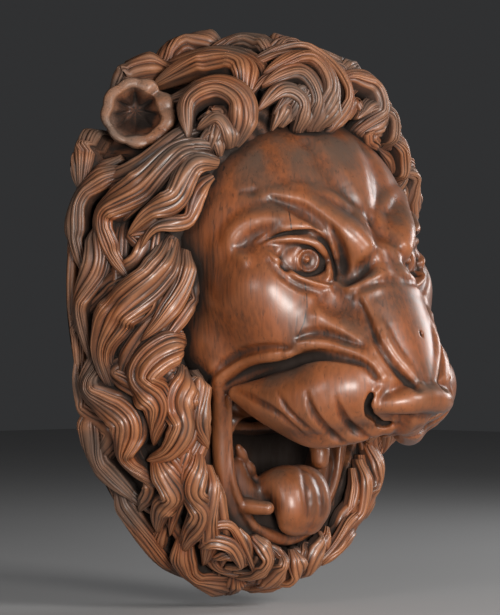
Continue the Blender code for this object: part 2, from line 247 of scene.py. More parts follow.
@dataclass
class Clay:
    """A block carved as signed distances on a grid, which holds both sides of the head folded onto one.

    sight is where lines of sight start and end. Distances past core don't matter to the skin. A ball or a
    roll may change the block as many cells beyond its own reach as its margin says. Slopes are felt, and
    lines of sight are looked along, over so many cells at a time.
    """

    low: Place
    high: Place
    step: float
    sight: Range = (420.0, -250.0)
    core: float = 20.0
    ball_margin: int = 3
    roll_margin: int = 2
    cells_felt: float = 1.5
    cells_looked: float = 0.5
    solid: np.ndarray = field(init=False)
    origin: np.ndarray = field(init=False)
    lines: list[np.ndarray] = field(init=False)

    def __post_init__(self) -> None:
        """Lays out an empty block."""
        self.origin = np.array(self.low, float)
        count = np.ceil((np.array(self.high) - self.origin) / self.step).astype(int) + 1
        self.solid = np.full(count, FAR_OFF, np.float32)
        self.rule()

    def rule(self) -> None:
        """Rules the lines on which the block's cells lie."""
        self.lines = [
            (start + self.step * np.arange(count)).astype(np.float32)
            for start, count in zip(self.origin, self.solid.shape)
        ]

    def window(self, low: np.ndarray, high: np.ndarray) -> tuple[slice, ...] | None:
        """Finds the part of the grid between two corners.

        Args:
            low: The lower corner.
            high: The upper corner.

        Returns:
            The part, or nothing where the corners miss the grid.
        """
        first = np.maximum(np.floor((low - self.origin) / self.step).astype(int), 0)
        last = np.minimum(np.ceil((high - self.origin) / self.step).astype(int) + 1, self.solid.shape)
        return None if (last <= first).any() else tuple(slice(a, b) for a, b in zip(first, last))

    def grid(self, window: tuple[slice, ...]) -> tuple[np.ndarray, np.ndarray, np.ndarray]:
        """Across, out and up over a window, ready to be combined."""
        x, d, z = (line[part] for line, part in zip(self.lines, window))
        return x[:, None, None], d[None, :, None], z[None, None, :]

    def merge(self, window: tuple[slice, ...], shape: np.ndarray, ease: float, cutting: bool) -> None:
        """Adds a shape to the block, or cuts it away.

        Args:
            window: The part of the grid that the shape covers.
            shape: Its distance field over that part.
            ease: How softly it meets the block.
            cutting: Whether it is cut away.
        """
        now = self.solid[window]
        if cutting:
            self.solid[window] = -eased_union(-now, shape, ease)
        else:
            self.solid[window] = eased_union(now, shape, ease)

    def ball(self, centre: Place, half_sizes: Sizes, ease: float, cutting: bool = False) -> None:
        """Adds an ellipsoid, or cuts it away.

        Args:
            centre: Its middle.
            half_sizes: Its half sizes across, out and up.
            ease: How softly it meets the block.
            cutting: Whether it is cut away.
        """
        middle, half = np.array(centre, float), np.array(half_sizes, float)
        reach = half + ease + self.ball_margin * self.step
        part = self.window(middle - reach, middle + reach)
        if part is None:
            return
        x, d, z = (axis - c for axis, c in zip(self.grid(part), middle))
        near = np.sqrt((x / half[0]) ** 2 + (d / half[1]) ** 2 + (z / half[2]) ** 2)
        slope = np.sqrt((x / half[0] ** 2) ** 2 + (d / half[1] ** 2) ** 2 + (z / half[2] ** 2) ** 2)
        slope = slope + LEAST_SLOPE
        self.merge(part, (near * (near - 1) / slope).astype(np.float32), ease, cutting)

    def roll(self, places: np.ndarray, radii: np.ndarray, ease: float, cutting: bool = False,
             half_flats: np.ndarray | None = None) -> None:
        """Adds a rounded roll along places, or cuts it away.

        Args:
            places: Its centre line.
            radii: Its radius at each place.
            ease: How softly it meets the block.
            cutting: Whether it is cut away.
            half_flats: How much wider than high the roll is, to either side.
        """
        flats = np.zeros(len(places)) if half_flats is None else half_flats
        reach = np.max(radii) + ease + self.roll_margin * self.step
        wide = np.array([reach + np.max(flats), reach, reach])
        part = self.window(places.min(0) - wide, places.max(0) + wide)
        if part is None:
            return
        shape = np.full(tuple(p.stop - p.start for p in part), FAR_OFF, np.float32)
        for a, b, r0, r1, f0, f1 in zip(places, places[1:], radii, radii[1:], flats, flats[1:]):
            span = self.window(np.minimum(a, b) - wide, np.maximum(a, b) + wide)
            if span is None:
                continue
            x, d, z = self.grid(span)
            run = b - a
            x, d, z = x - a[0], d - a[1], z - a[2]
            squared = max(float(run @ run), LEAST_SLOPE)
            share = np.clip((x * run[0] + d * run[1] + z * run[2]) / squared, 0, 1)
            radius = r0 + (r1 - r0) * share
            x = (x - run[0] * share) * radius / (radius + f0 + (f1 - f0) * share)
            far = np.sqrt(x**2 + (d - run[1] * share) ** 2 + (z - run[2] * share) ** 2) - radius
            inner = tuple(slice(s.start - p.start, s.stop - p.start) for s, p in zip(span, part))
            shape[inner] = np.minimum(shape[inner], far)
        self.merge(part, shape, ease, cutting)

    def sample(self, places: np.ndarray) -> np.ndarray:
        """Reads the distance field on either side of the head.

        Args:
            places: Where to read it.

        Returns:
            The distance at each place.
        """
        folded = places.copy()
        folded[:, 0] = np.abs(folded[:, 0])
        return interpolated(self.solid, (folded - self.origin) / self.step)

    def slope(self, places: np.ndarray) -> np.ndarray:
        """Feels which way the block's skin looks.

        Args:
            places: Places on the skin.

        Returns:
            The way out at each place.
        """
        reach = self.cells_felt * self.step
        ways = [
            self.sample(places + reach * axis) - self.sample(places - reach * axis) for axis in np.eye(3)
        ]
        return unit(np.stack(ways, axis=1))

    def seen(self, spots: np.ndarray) -> np.ndarray:
        """Where lines of sight from the lion's right first meet the skin.

        Args:
            spots: Rows of (across, up) in the view's plane.

        Returns:
            Rows of places. A line that misses ends inside the head's middle plane.
        """
        near, far = self.sight
        depth = np.arange(near, far, -self.cells_looked * self.step)
        found = []
        for across, up in spots:
            total = across * math.sqrt(2)
            line = np.stack([(total - depth) / 2, (total + depth) / 2, np.full_like(depth, up)], axis=1)
            inside = np.nonzero(self.sample(line) < 0)[0]
            found.append(line[inside[0]] if len(inside) else np.array([0.0, total, up]))
        return np.array(found)

    def soften(self, passes: int, low: Place | None = None, high: Place | None = None) -> None:
        """Rubs the block down, as wax and hands do.

        Args:
            passes: How many times.
            low: The lower corner of what is rubbed, or nothing for the whole block.
            high: The upper corner.
        """
        part = self.solid if low is None else self.solid[self.window(np.array(low), np.array(high))]
        for _ in range(passes):
            for axis in range(3):
                rows = np.moveaxis(part, axis, 0)
                middle = 0.5 * rows[1:-1] + 0.25 * (rows[:-2] + rows[2:])
                if axis == 0:
                    rows[0] = 0.5 * rows[0] + 0.5 * rows[1]
                rows[1:-1] = middle

    def whole(self) -> "Clay":
        """Unfolds the block.

        Returns:
            A block with both sides of the head.
        """
        full = Clay(self.low, self.high, self.step)
        full.solid = np.concatenate([self.solid[:0:-1], self.solid])
        full.origin = np.array([-(len(self.solid) - 1) * self.step, *self.origin[1:]])
        full.rule()
        return full

    def skin(self) -> Skin:
        """Finds the block's surface.

        Returns:
            A skin that is closed where the grid ends.
        """
        block = np.clip(self.solid, -self.core, self.core)
        for axis in range(3):
            rows = np.moveaxis(block, axis, 0)
            rows[0] = np.maximum(rows[0], self.step)
            rows[-1] = np.maximum(rows[-1], self.step)
        grid = openvdb.FloatGrid(self.core)
        grid.copyFromArray(np.ascontiguousarray(block))
        points, quads = grid.convertToQuads(0.0)
        places = np.asarray(points, float) * self.step + self.origin
        return Skin(places, np.asarray(quads, np.int64)[:, :4], np.zeros(len(places))).facing_out()


@dataclass(frozen=True)
class Roll:
    """A rounded roll of the head, smooth through its stations, which are a place and a radius each.

    ease is how softly it meets the block. half_flats are how much wider than high it is to either side, at
    even spaces along it.
    """

    stations: tuple[tuple[Place, float], ...]
    ease: float
    half_flats: tuple[float, ...] = (0.0,)
    per_span: int = 6

    def lay(self, clay: Clay) -> None:
        """Lays the roll on the block."""
        run = curve_through(np.array([(*place, radius) for place, radius in self.stations]), self.per_span)
        given = np.linspace(0, 1, len(self.half_flats))
        flats = np.interp(np.linspace(0, 1, len(run)), given, self.half_flats)
        clay.roll(run[:, :3], run[:, 3], self.ease, half_flats=flats)


@dataclass(frozen=True)
class Stroke:
    """A carver's stroke on the face: a roll that stands up, or a cut.

    route holds places as the three-quarter view sees them. lift is how far the stroke stands out of the
    skin, and is negative for a cut. Over a share of its length at each end, its tapers, the stroke narrows
    to a first and a last share of its radius.
    """

    route: tuple[Seen, ...]
    radius: float
    lift: float
    first: float = 0.4
    last: float = 0.4
    ease: float = 2.0
    tapers: float = 0.35
    per_span: int = 5

    def carve(self, clay: Clay) -> None:
        """Carves the stroke on both sides of the head."""
        run = curve_through(np.array(self.route), self.per_span)
        along = np.linspace(0, 1, len(run))
        swell = self.first + (1 - self.first) * smooth_step(0, self.tapers, along)
        swell *= self.last + (1 - self.last) * smooth_step(0, self.tapers, 1 - along)
        places = clay.seen(run)
        raised = self.lift - self.radius if self.lift > 0 else self.radius + self.lift
        centres = places + clay.slope(places) * (swell * raised)[:, None]
        centres[:, 0] = np.maximum(-centres[:, 0], 0)
        clay.roll(centres, self.radius * swell, self.ease, cutting=self.lift < 0)


@dataclass
class Head:
    """The snarling head: forehead, brow, eyes, nose, whisker pads and the open mouth, in one block.

    A ball is its centre, its half sizes and its ease. A roll's stations come before its ease. The numbers
    after a stroke's route are its radius, its lift, its first and last shares, and its ease. Strokes are
    carved in the order in which they stand. An iris ring is its radius, its stroke's radius and its lift.
    """

    step: float = 1.4
    low: Place = (0.0, 6.0, -222.0)
    high: Place = (138.0, 290.0, 190.0)
    hidden_behind: float = 62.0
    jaw: tuple[Place, Place] = ((-100.0, 0.0, -222.0), (100.0, 70.0, -62.0))

    masses: tuple[Ball, ...] = (
        ((0, 85, 60), (126, 113, 120), 14),
        ((0, 92, -22), (118, 76, 80), 20),
        ((77, 138, 17), (44, 49, 46), 18),
        ((54, 156, -20), (46, 44, 40), 22),
        ((0, 226, -80), (30, 36, 26), 10),
        ((0, 40, -140), (92, 62, 84), 12),
    )
    brow: Roll = Roll((
        ((108, 124, 54), 8), ((88, 150, 68), 12), ((58, 172, 72), 18), ((30, 191, 62), 21),
        ((14, 200, 48), 21),
    ), 12)
    cheek_to_nose: Roll = Roll((((62, 158, 20), 26), ((48, 184, -14), 30), ((36, 206, -42), 26)), 18)
    bridge_side: Roll = Roll((((28, 182, 22), 24), ((30, 204, -18), 24), ((24, 226, -50), 20)), 16)
    whisker_pad: Roll = Roll((
        ((97, 128, -72), 6), ((84, 157, -78), 20), ((66, 188, -78), 32), ((47, 209, -67), 36),
        ((26, 227, -70), 29),
    ), 7)
    upper_lip: Roll = Roll((
        ((97, 127, -75), 3.5), ((90, 142, -81), 7), ((80, 158, -91), 11), ((61, 185, -106), 14),
        ((40, 209, -105), 12.5), ((16, 226, -98), 11),
    ), 8)
    bridge: Roll = Roll((
        ((0, 182, 60), 22), ((0, 204, 34), 19), ((0, 213, 10), 24), ((0, 226, -18), 24), ((0, 240, -50), 22),
        ((0, 251, -62), 15),
    ), 9, (10, 4, 18, 19, 11, 6))
    septum: Roll = Roll((((0, 251, -90), 12), ((0, 238, -99), 9)), 5)
    nose_leather: Roll = Roll((
        ((0, 265, -77), 12), ((16, 263, -78), 12), ((30, 256, -80), 10), ((40, 247, -82), 7.5),
    ), 5)

    mouth_hollows: tuple[Ball, ...] = (
        ((0, 96, -140), (64, 74, 62), 4),
        ((0, 150, -146), (76, 80, 36), 4),
    )
    jaw_side: Roll = Roll((
        ((100, 108, -50), 9), ((92, 102, -74), 7), ((79, 90, -100), 8), ((72, 85, -142), 8),
        ((61, 81, -174), 9), ((41, 80, -200), 10),
    ), 6)
    jaw_rim: Roll = Roll((
        ((91, 113, -77), 3), ((79, 101, -92), 3), ((72, 94, -116), 3.2), ((67, 93, -150), 3.5),
        ((55, 92, -174), 4), ((38, 92, -194), 5), ((16, 93, -203), 6.5), ((0, 94, -205), 7),
    ), 2)
    gum: Roll = Roll((
        ((64, 74, -112), 6), ((58, 74, -140), 9), ((46, 76, -164), 11), ((24, 80, -184), 13),
        ((0, 82, -190), 14),
    ), 4)
    palate_edge: Roll = Roll((((0, 50, -108), 6), ((30, 54, -105), 7), ((54, 66, -103), 8)), 6)
    inner_wall: Roll = Roll((((54, 84, -140), 9), ((47, 84, -156), 11), ((36, 84, -172), 12)), 8)

    frown: tuple[Stroke, ...] = (
        Stroke(((86, 146), (98, 130), (111, 112), (125, 92)), 12, -1.8, 0.3, 0.3, 12),
        Stroke(((24, 56), (33, 62), (45, 68), (57, 71)), 9, -3.6, 0.7, 0.3, 8),
        Stroke(((26, 103), (42, 103), (58, 101)), 5, -1.6, 0.3, 0.3, 3),
        Stroke(((70, 109), (84, 106), (97, 101), (109, 97), (121, 89), (133, 79), (143, 70)),
               7, 2.4, 0.2, 0.5, 5),
        Stroke(((45, 101), (60, 101), (76, 98), (88, 93), (100, 86), (112, 77), (124, 67), (133, 57),
                (138, 50)), 13, 5.5, 0.3, 0.8, 7),
        Stroke(((30, 43), (21, 52), (19, 61), (23, 71), (34, 78), (50, 81), (68, 80), (83, 76), (95, 69)),
               9, 4.0, 0.3, 0.6, 7),
        Stroke(((52, 97), (66, 92), (78, 87), (90, 79), (101, 69), (108, 59), (112, 49), (114, 40)),
               7.5, -6.5, 0.2, 0.9, 5),
        Stroke(((144.5, 86), (145, 73), (146, 60)), 5, -3.5, 0.3, 0.8, 6),
        Stroke(((112, 38), (117, 29), (126, 28), (134, 35), (141, 44), (146, 51)), 8, -6.0, 0.7, 0.6, 6),
        Stroke(((120, 16), (130, 21), (140, 27), (150, 33)), 9, 3.5, 0.4, 0.9, 7),
        Stroke(((104, 24), (112, 17), (121, 14.5), (132, 20), (146, 24.5), (158, 26.5)),
               4.5, -2.8, 0.5, 0.7, 4),
    )
    between_brows: tuple[Place, Place] = ((0.0, 160.0, 22.0), (16.0, 240.0, 96.0))
    rubs_between_brows: int = 6

    socket: Ball = ((66, 179, 42), (26, 16, 14), 6)
    eyeball: Ball = ((54.3, 147.7, 44), (40, 40, 28), 1.5)
    lids: tuple[Stroke, ...] = (
        Stroke(((40, 60), (50, 66), (60, 70), (72, 72), (85, 71), (97, 66)), 5, 3.0, 0.3, 0.5, 4),
        Stroke(((44, 58), (52, 62), (63, 65), (75, 66.5), (87, 66), (98, 60), (105, 50), (108.5, 38),
                (109, 27)), 3.2, -5.0, 0.3, 0.6, 1.5),
        Stroke(((99, 76), (102, 69), (106, 57), (110.5, 42), (112, 29)), 3.0, 3.0, 0.3, 0.6, 2),
        Stroke(((42, 55), (50, 59), (60, 61), (70, 62), (79, 61.5), (91, 58), (99.5, 49), (102.5, 38),
                (102, 27)), 3.6, 4.2, 0.3, 0.6, 1),
        Stroke(((47, 53), (50, 50), (56, 44), (63, 36.5), (75, 28), (87, 23.5), (98, 21), (105, 21)),
               3.2, 3.4, 0.3, 0.6, 1),
        Stroke(((50, 42), (58, 34), (70, 25), (84, 18.5), (98, 16)), 4, -2.5, 0.3, 0.5, 4),
    )
    iris_seen: Seen = (84.8, 43.0)
    iris_narrower: float = 0.94
    iris_corners: int = 25
    iris_ease: float = 0.8
    iris_rings: tuple[tuple[float, float, float], ...] = (
        (11.8, 1.6, -1.6), (9.4, 1.6, 1.2), (6.2, 2.2, -2.4),
    )
    pupil: Sizes = (6.0, 6.0, 6.0)
    pupil_ease: float = 1.0
    glint: Sizes = (3.0, 3.0, 3.4)
    glint_deep: float = 3.0
    glint_up: float = 1.0

    nose_lines: tuple[Stroke, ...] = (
        Stroke(((95, -5), (109, -11), (124, -20), (136, -28), (143, -37), (149, -48), (153, -60)),
               14, 5.0, 0.3, 0.5, 10),
        Stroke(((98, 9), (109, 3), (121, -4), (130, -12), (137, -20)), 12, -3.0, 0.3, 0.6, 12),
        Stroke(((129, 8), (138, -11), (144, -25), (150, -36), (157, -46), (164, -55), (171, -62),
                (179, -68)), 4.5, -4.0, 0.1, 0.7, 3),
        Stroke(((134, 9), (142, -7), (149, -20), (156, -32), (165, -46), (173, -57), (182, -65)),
               6, 2.6, 0.2, 0.5, 4),
        Stroke(((147, -67), (142, -74), (141, -82)), 4.0, 3.2, 0.5, 0.9, 2),
        Stroke(((138, -74), (136, -82), (138, -91), (145, -97)), 5.0, -9.5, 0.7, 0.8, 1.5),
        Stroke(((145, -97), (152, -100), (160, -98)), 4.6, -8.0, 0.7, 1, 1.5),
        Stroke(((160, -90), (158, -102), (152, -112)), 3.0, 1.6, 0.5, 0.4, 3),
        Stroke(((178, -90), (174, -102), (166, -113)), 3.0, 1.6, 0.5, 0.4, 3),
    )
    snarl: tuple[Stroke, ...] = (
        Stroke(((-6, -76), (4, -64), (13, -54), (25, -46), (39, -41), (54, -40), (68, -39), (78, -38)),
               8, 5.0, 0.4, 0.4, 4),
        Stroke(((66, -38), (73, -33), (80, -30), (91, -29), (104, -30), (118, -34), (130, -39), (141, -47),
                (149, -58)), 7, 4.0, 0.4, 0.5, 4),
        Stroke(((-4, -62), (3, -55), (12, -47), (25, -39), (41, -34), (57, -32), (68, -33)),
               4, -3.5, 0.4, 0.3, 3),
        Stroke(((76, -24), (84, -21), (95, -20), (106, -22), (119, -27), (130, -31)),
               4, -3.0, 0.3, 0.3, 4),
        Stroke(((14, -66), (23, -60), (36, -53), (50, -49), (64, -47), (79, -43), (93, -40), (107, -40),
                (121, -43), (134, -48), (143, -58)), 5, -5.0, 0.3, 0.4, 3),
        Stroke(((18, -68), (28, -72), (40, -79), (54, -87), (68, -98), (82, -109)),
               3.5, -2.8, 0.4, 0.3, 2),
        Stroke(((58, -72), (62, -79), (67, -87), (81, -100), (95, -110)), 2.6, -2.4, 0.3, 0.3, 1.5),
        Stroke(((83, -71), (85, -80), (90, -91), (100, -103), (113, -114), (120, -117)),
               3.6, -3.4, 0.3, 0.2, 1.5),
        Stroke(((108, -76), (111, -85), (116, -95), (125, -104), (136, -111), (144, -113)),
               4.0, -3.6, 0.3, 0.2, 1.5),
    )

    tongue: Roll = Roll((
        ((16, 58, -172), 13), ((15, 82, -163), 15), ((7, 105, -158), 19), ((7, 114, -175), 17.5),
        ((6, 112, -190), 12.5),
    ), 5, (7.0,))
    tongue_groove: Stroke = Stroke(((81, -142), (84, -156), (86, -170), (86, -182)),
                                   5, -1.8, 0.3, 0.3, 5)
    rubs_at_last: int = 1

    fang: Roll = Roll((((-56, 76, -172), 7.5), ((-48, 98, -175), 7), ((-42, 112, -176), 6)), 2)
    stump: Roll = Roll((((36, 96, -112), 10), ((32, 105, -126), 9), ((31, 106, -136), 8)), 2)
    broken_teeth: Roll = Roll((
        ((-57, 90, -122), 3), ((-52, 89, -128), 5), ((-46, 89, -135), 3), ((-41, 88, -141), 5.5),
        ((-36, 88, -147), 3), ((-32, 87, -153), 4),
    ), 2)
    nail_hole: Ball = ((7, 250, -21), (1.8, 6, 2.6), 0.5)

    # Creases are marked for stain and painted shade, sharp edges for wear and a painted highlight, and the
    # inside of the mouth within these bounds for painted shade.
    crease_radius: float = 4.0
    in_crease: Range = (0.5, 0.72)
    on_edge: Range = (0.46, 0.26)
    mouth_shade_across: float = 72.0
    mouth_shade_up: Range = (-200.0, -108.0)
    mouth_shade_out: Range = (104.0, 74.0)
    mouth_shade_share: float = 0.95

    glue_line: tuple[Seen, ...] = (
        (67, 91), (68.8, 79.5), (70.5, 64.3), (81.3, 25.9), (83, 13.4), (83.4, 2.7), (80.4, -11.6),
        (75, -24),
    )
    glue_hidden: Range = (25.0, 65.0)
    far_from_joint: float = 20.0

    def block_out(self, clay: Clay) -> None:
        """Heaps up the large masses."""
        for mass in self.masses:
            clay.ball(*mass)
        for roll in (self.brow, self.cheek_to_nose, self.bridge_side, self.whisker_pad, self.upper_lip,
                     self.bridge, self.septum, self.nose_leather):
            roll.lay(clay)

    def open_mouth(self, clay: Clay) -> None:
        """Hollows out the mouth and builds its rim and gum."""
        for hollow in self.mouth_hollows:
            clay.ball(*hollow, cutting=True)
        for roll in (self.jaw_side, self.jaw_rim, self.gum, self.palate_edge, self.inner_wall):
            roll.lay(clay)

    def carve_brow(self, clay: Clay) -> None:
        """Carves the frown: folds of the forehead and brow, and the furrows between them.

        Args:
            clay: The head's block.
        """
        for stroke in self.frown:
            stroke.carve(clay)
        clay.soften(self.rubs_between_brows, *self.between_brows)

    def carve_eye(self, clay: Clay) -> None:
        """Sets the eyeball in its socket, with both lids, the ringed iris and the pupil with its glint.

        Args:
            clay: The head's block.
        """
        clay.ball(*self.socket, cutting=True)
        clay.ball(*self.eyeball)
        for stroke in self.lids:
            stroke.carve(clay)
        middle = np.array(self.iris_seen)
        turns = np.linspace(0, 2 * math.pi, self.iris_corners)
        round_it = np.stack([self.iris_narrower * np.cos(turns), np.sin(turns)], axis=1)
        for radius, width, lift in self.iris_rings:
            route = tuple(tuple(spot) for spot in middle + radius * round_it)
            Stroke(route, width, lift, 1, 1, self.iris_ease).carve(clay)
        pupil = clay.seen(middle[None])[0]
        pupil[0] = -pupil[0]
        way = clay.slope(pupil[None])[0]
        clay.ball(tuple(pupil), self.pupil, self.pupil_ease, cutting=True)
        glint = pupil - self.glint_deep * way + (0, 0, self.glint_up)
        clay.ball(tuple(glint), self.glint, self.iris_ease)

    def lay_tongue(self, clay: Clay) -> None:
        """Lays the tongue over the lower lip, with the groove down its middle."""
        self.tongue.lay(clay)
        self.tongue_groove.carve(clay)

    def carve_both_sides(self) -> Clay:
        """Carves all that the two sides share.

        Returns:
            The folded block, open behind where the mane hides it.
        """
        clay = Clay(self.low, self.high, self.step)
        self.block_out(clay)
        self.open_mouth(clay)
        self.carve_brow(clay)
        self.carve_eye(clay)
        for stroke in self.nose_lines + self.snarl:
            stroke.carve(clay)
        self.lay_tongue(clay)
        clay.soften(self.rubs_at_last)
        x, d, z = clay.grid(clay.window(clay.origin, np.array(self.high)))
        low, high = self.jaw
        sides = np.maximum(np.maximum(low[0] - x, x - high[0]), np.maximum(low[2] - z, z - high[2]))
        kept = np.minimum(self.hidden_behind - d, sides)
        clay.solid = np.maximum(clay.solid, kept).astype(np.float32)
        return clay

    def carve_one_sided(self, clay: Clay) -> None:
        """Adds what only one side has: fang and broken teeth on the right, a stump and a nail hole left.

        Args:
            clay: The unfolded block.
        """
        for roll in (self.fang, self.stump, self.broken_teeth):
            roll.lay(clay)
        clay.ball(*self.nail_hole, cutting=True)

    def build(self) -> Skin:
        """Carves the head, and marks its creases for stain and painted shade, the inside of its mouth for
        painted shade, and its edges for wear and a painted highlight.

        Returns:
            The head's skin.
        """
        full = self.carve_both_sides().whole()
        self.carve_one_sided(full)
        skin = full.skin()
        filled = blurred((full.solid < 0).astype(np.float32), self.crease_radius / self.step)
        closed_in = interpolated(filled, (skin.places - full.origin) / full.step)
        # Creases get stain and painted shade, sharp edges wear and a painted highlight.
        skin.groove = smooth_step(*self.in_crease, closed_in) - smooth_step(*self.on_edge, closed_in)
        across, out, up = skin.places.T
        # The deeper in the mouth a place lies, the darker it is painted: painted shade.
        in_mouth = (np.abs(across) < self.mouth_shade_across) & (up > self.mouth_shade_up[0]) & (up < self.mouth_shade_up[1])
        depth = np.where(in_mouth, smooth_step(*self.mouth_shade_out, out), 0)
        skin.groove = np.maximum(skin.groove, self.mouth_shade_share * depth)
        skin.joint = self.from_glue_line(skin.places)
        return skin

    def from_glue_line(self, places: np.ndarray) -> np.ndarray:
        """Measures from the glued joint that shows on the right cheek and brow.

        Args:
            places: Where to measure from.

        Returns:
            How far across each place lies from the joint. Where none shows, a distance far from it.
        """
        line = np.array(self.glue_line)
        across = (places[:, 0] + places[:, 1]) / math.sqrt(2)
        up = places[:, 2]
        gap = across - np.interp(-up, -line[:, 1], line[:, 0])
        shown = (places[:, 0] < 0) & (up < line[0, 1]) & (up > line[-1, 1])
        shown &= (up > self.glue_hidden[1]) | (up < self.glue_hidden[0])
        return np.where(shown, gap, self.far_from_joint)


@dataclass(frozen=True)
class Oval:
    """An oval round the mane's centre. Only its upper half may be squared."""

    half_width: float
    top: float
    bottom: float
    squareness: float = 2.0

    def radius(self, angle: np.ndarray) -> np.ndarray:
        """Measures the oval.

        Args:
            angle: Angles in radians, 0 on the lion's left and a quarter turn at the crown.

        Returns:
            How far the oval is from the centre at each angle.
        """
        upper = np.sin(angle) >= 0
        tall, power = np.where(upper, self.top, self.bottom), np.where(upper, self.squareness, 2.0)
        along = np.abs(np.cos(angle) / self.half_width) ** power + np.abs(np.sin(angle) / tall) ** power
        return along ** (-1 / power)


@dataclass(frozen=True)
class ManeChart:
    """The mane's surface round the head.

    A spot on it is an angle in degrees, 0 on the lion's left and 90 at the crown, and a reach, 0 at the
    hairline and 1 at the rim. A normal is felt over a small step of either, and not past the ends of reach.
    """

    hairline: Oval = Oval(122, 138, 236, 2.8)
    rim: Oval = Oval(181, 222, 271)
    centre_up: float = 20.0
    out: float = 98.0
    out_at_crown: float = 50.0
    fullness: float = 2.7
    felt_degrees: float = 0.5
    felt_reach: float = 0.01
    felt_within: Range = (0.02, 0.98)

    def spot(self, degrees: np.ndarray, reach: np.ndarray) -> np.ndarray:
        """Finds spots in space.

        Args:
            degrees: Each spot's angle.
            reach: Each spot's reach.

        Returns:
            The place of each.
        """
        angle = np.radians(degrees)
        quarter = math.pi / 2 * np.clip(reach, 0, 1)
        hair = self.hairline.radius(angle)
        radius = hair + (self.rim.radius(angle) - hair) * np.sin(quarter) ** (2 / self.fullness)
        most = self.out + self.out_at_crown * np.maximum(np.sin(angle), 0) ** 2
        out = most * np.maximum(np.cos(quarter), 0) ** (2 / self.fullness)
        return np.stack([radius * np.cos(angle), out, self.centre_up + radius * np.sin(angle)], axis=-1)

    def normal(self, degrees: np.ndarray, reach: np.ndarray) -> np.ndarray:
        """Finds which way the surface looks.

        Args:
            degrees: Each spot's angle.
            reach: Each spot's reach.

        Returns:
            The way out at each spot.
        """
        reach = np.clip(reach, *self.felt_within)
        turn, stride = self.felt_degrees, self.felt_reach
        round_it = self.spot(degrees + turn, reach) - self.spot(degrees - turn, reach)
        outward = self.spot(degrees, reach + stride) - self.spot(degrees, reach - stride)
        return unit(np.cross(round_it, outward))


def tube(rings: np.ndarray) -> np.ndarray:
    """The faces of a tube over rings of as many places each, with a fan of quads over both ends.

    Args:
        rings: Places as (ring, place round it, 3). The first and last rings are small.

    Returns:
        Rows of four place numbers, with the rings numbered one after another.
    """
    count, around = rings.shape[:2]
    numbers = np.arange(count * around).reshape(count, around)
    ahead = np.roll(numbers, -1, axis=1)
    sides = np.stack([numbers[:-1], ahead[:-1], ahead[1:], numbers[1:]], axis=-1).reshape(-1, 4)
    ends = []
    for ring, turned in ((numbers[0], False), (numbers[-1], True)):
        pairs = [(ring[k], ring[k + 1], ring[-2 - k], ring[-1 - k]) for k in range(around // 2 - 1)]
        ends += [pair if turned else pair[::-1] for pair in pairs]
    return np.vstack([sides, np.array(ends)])


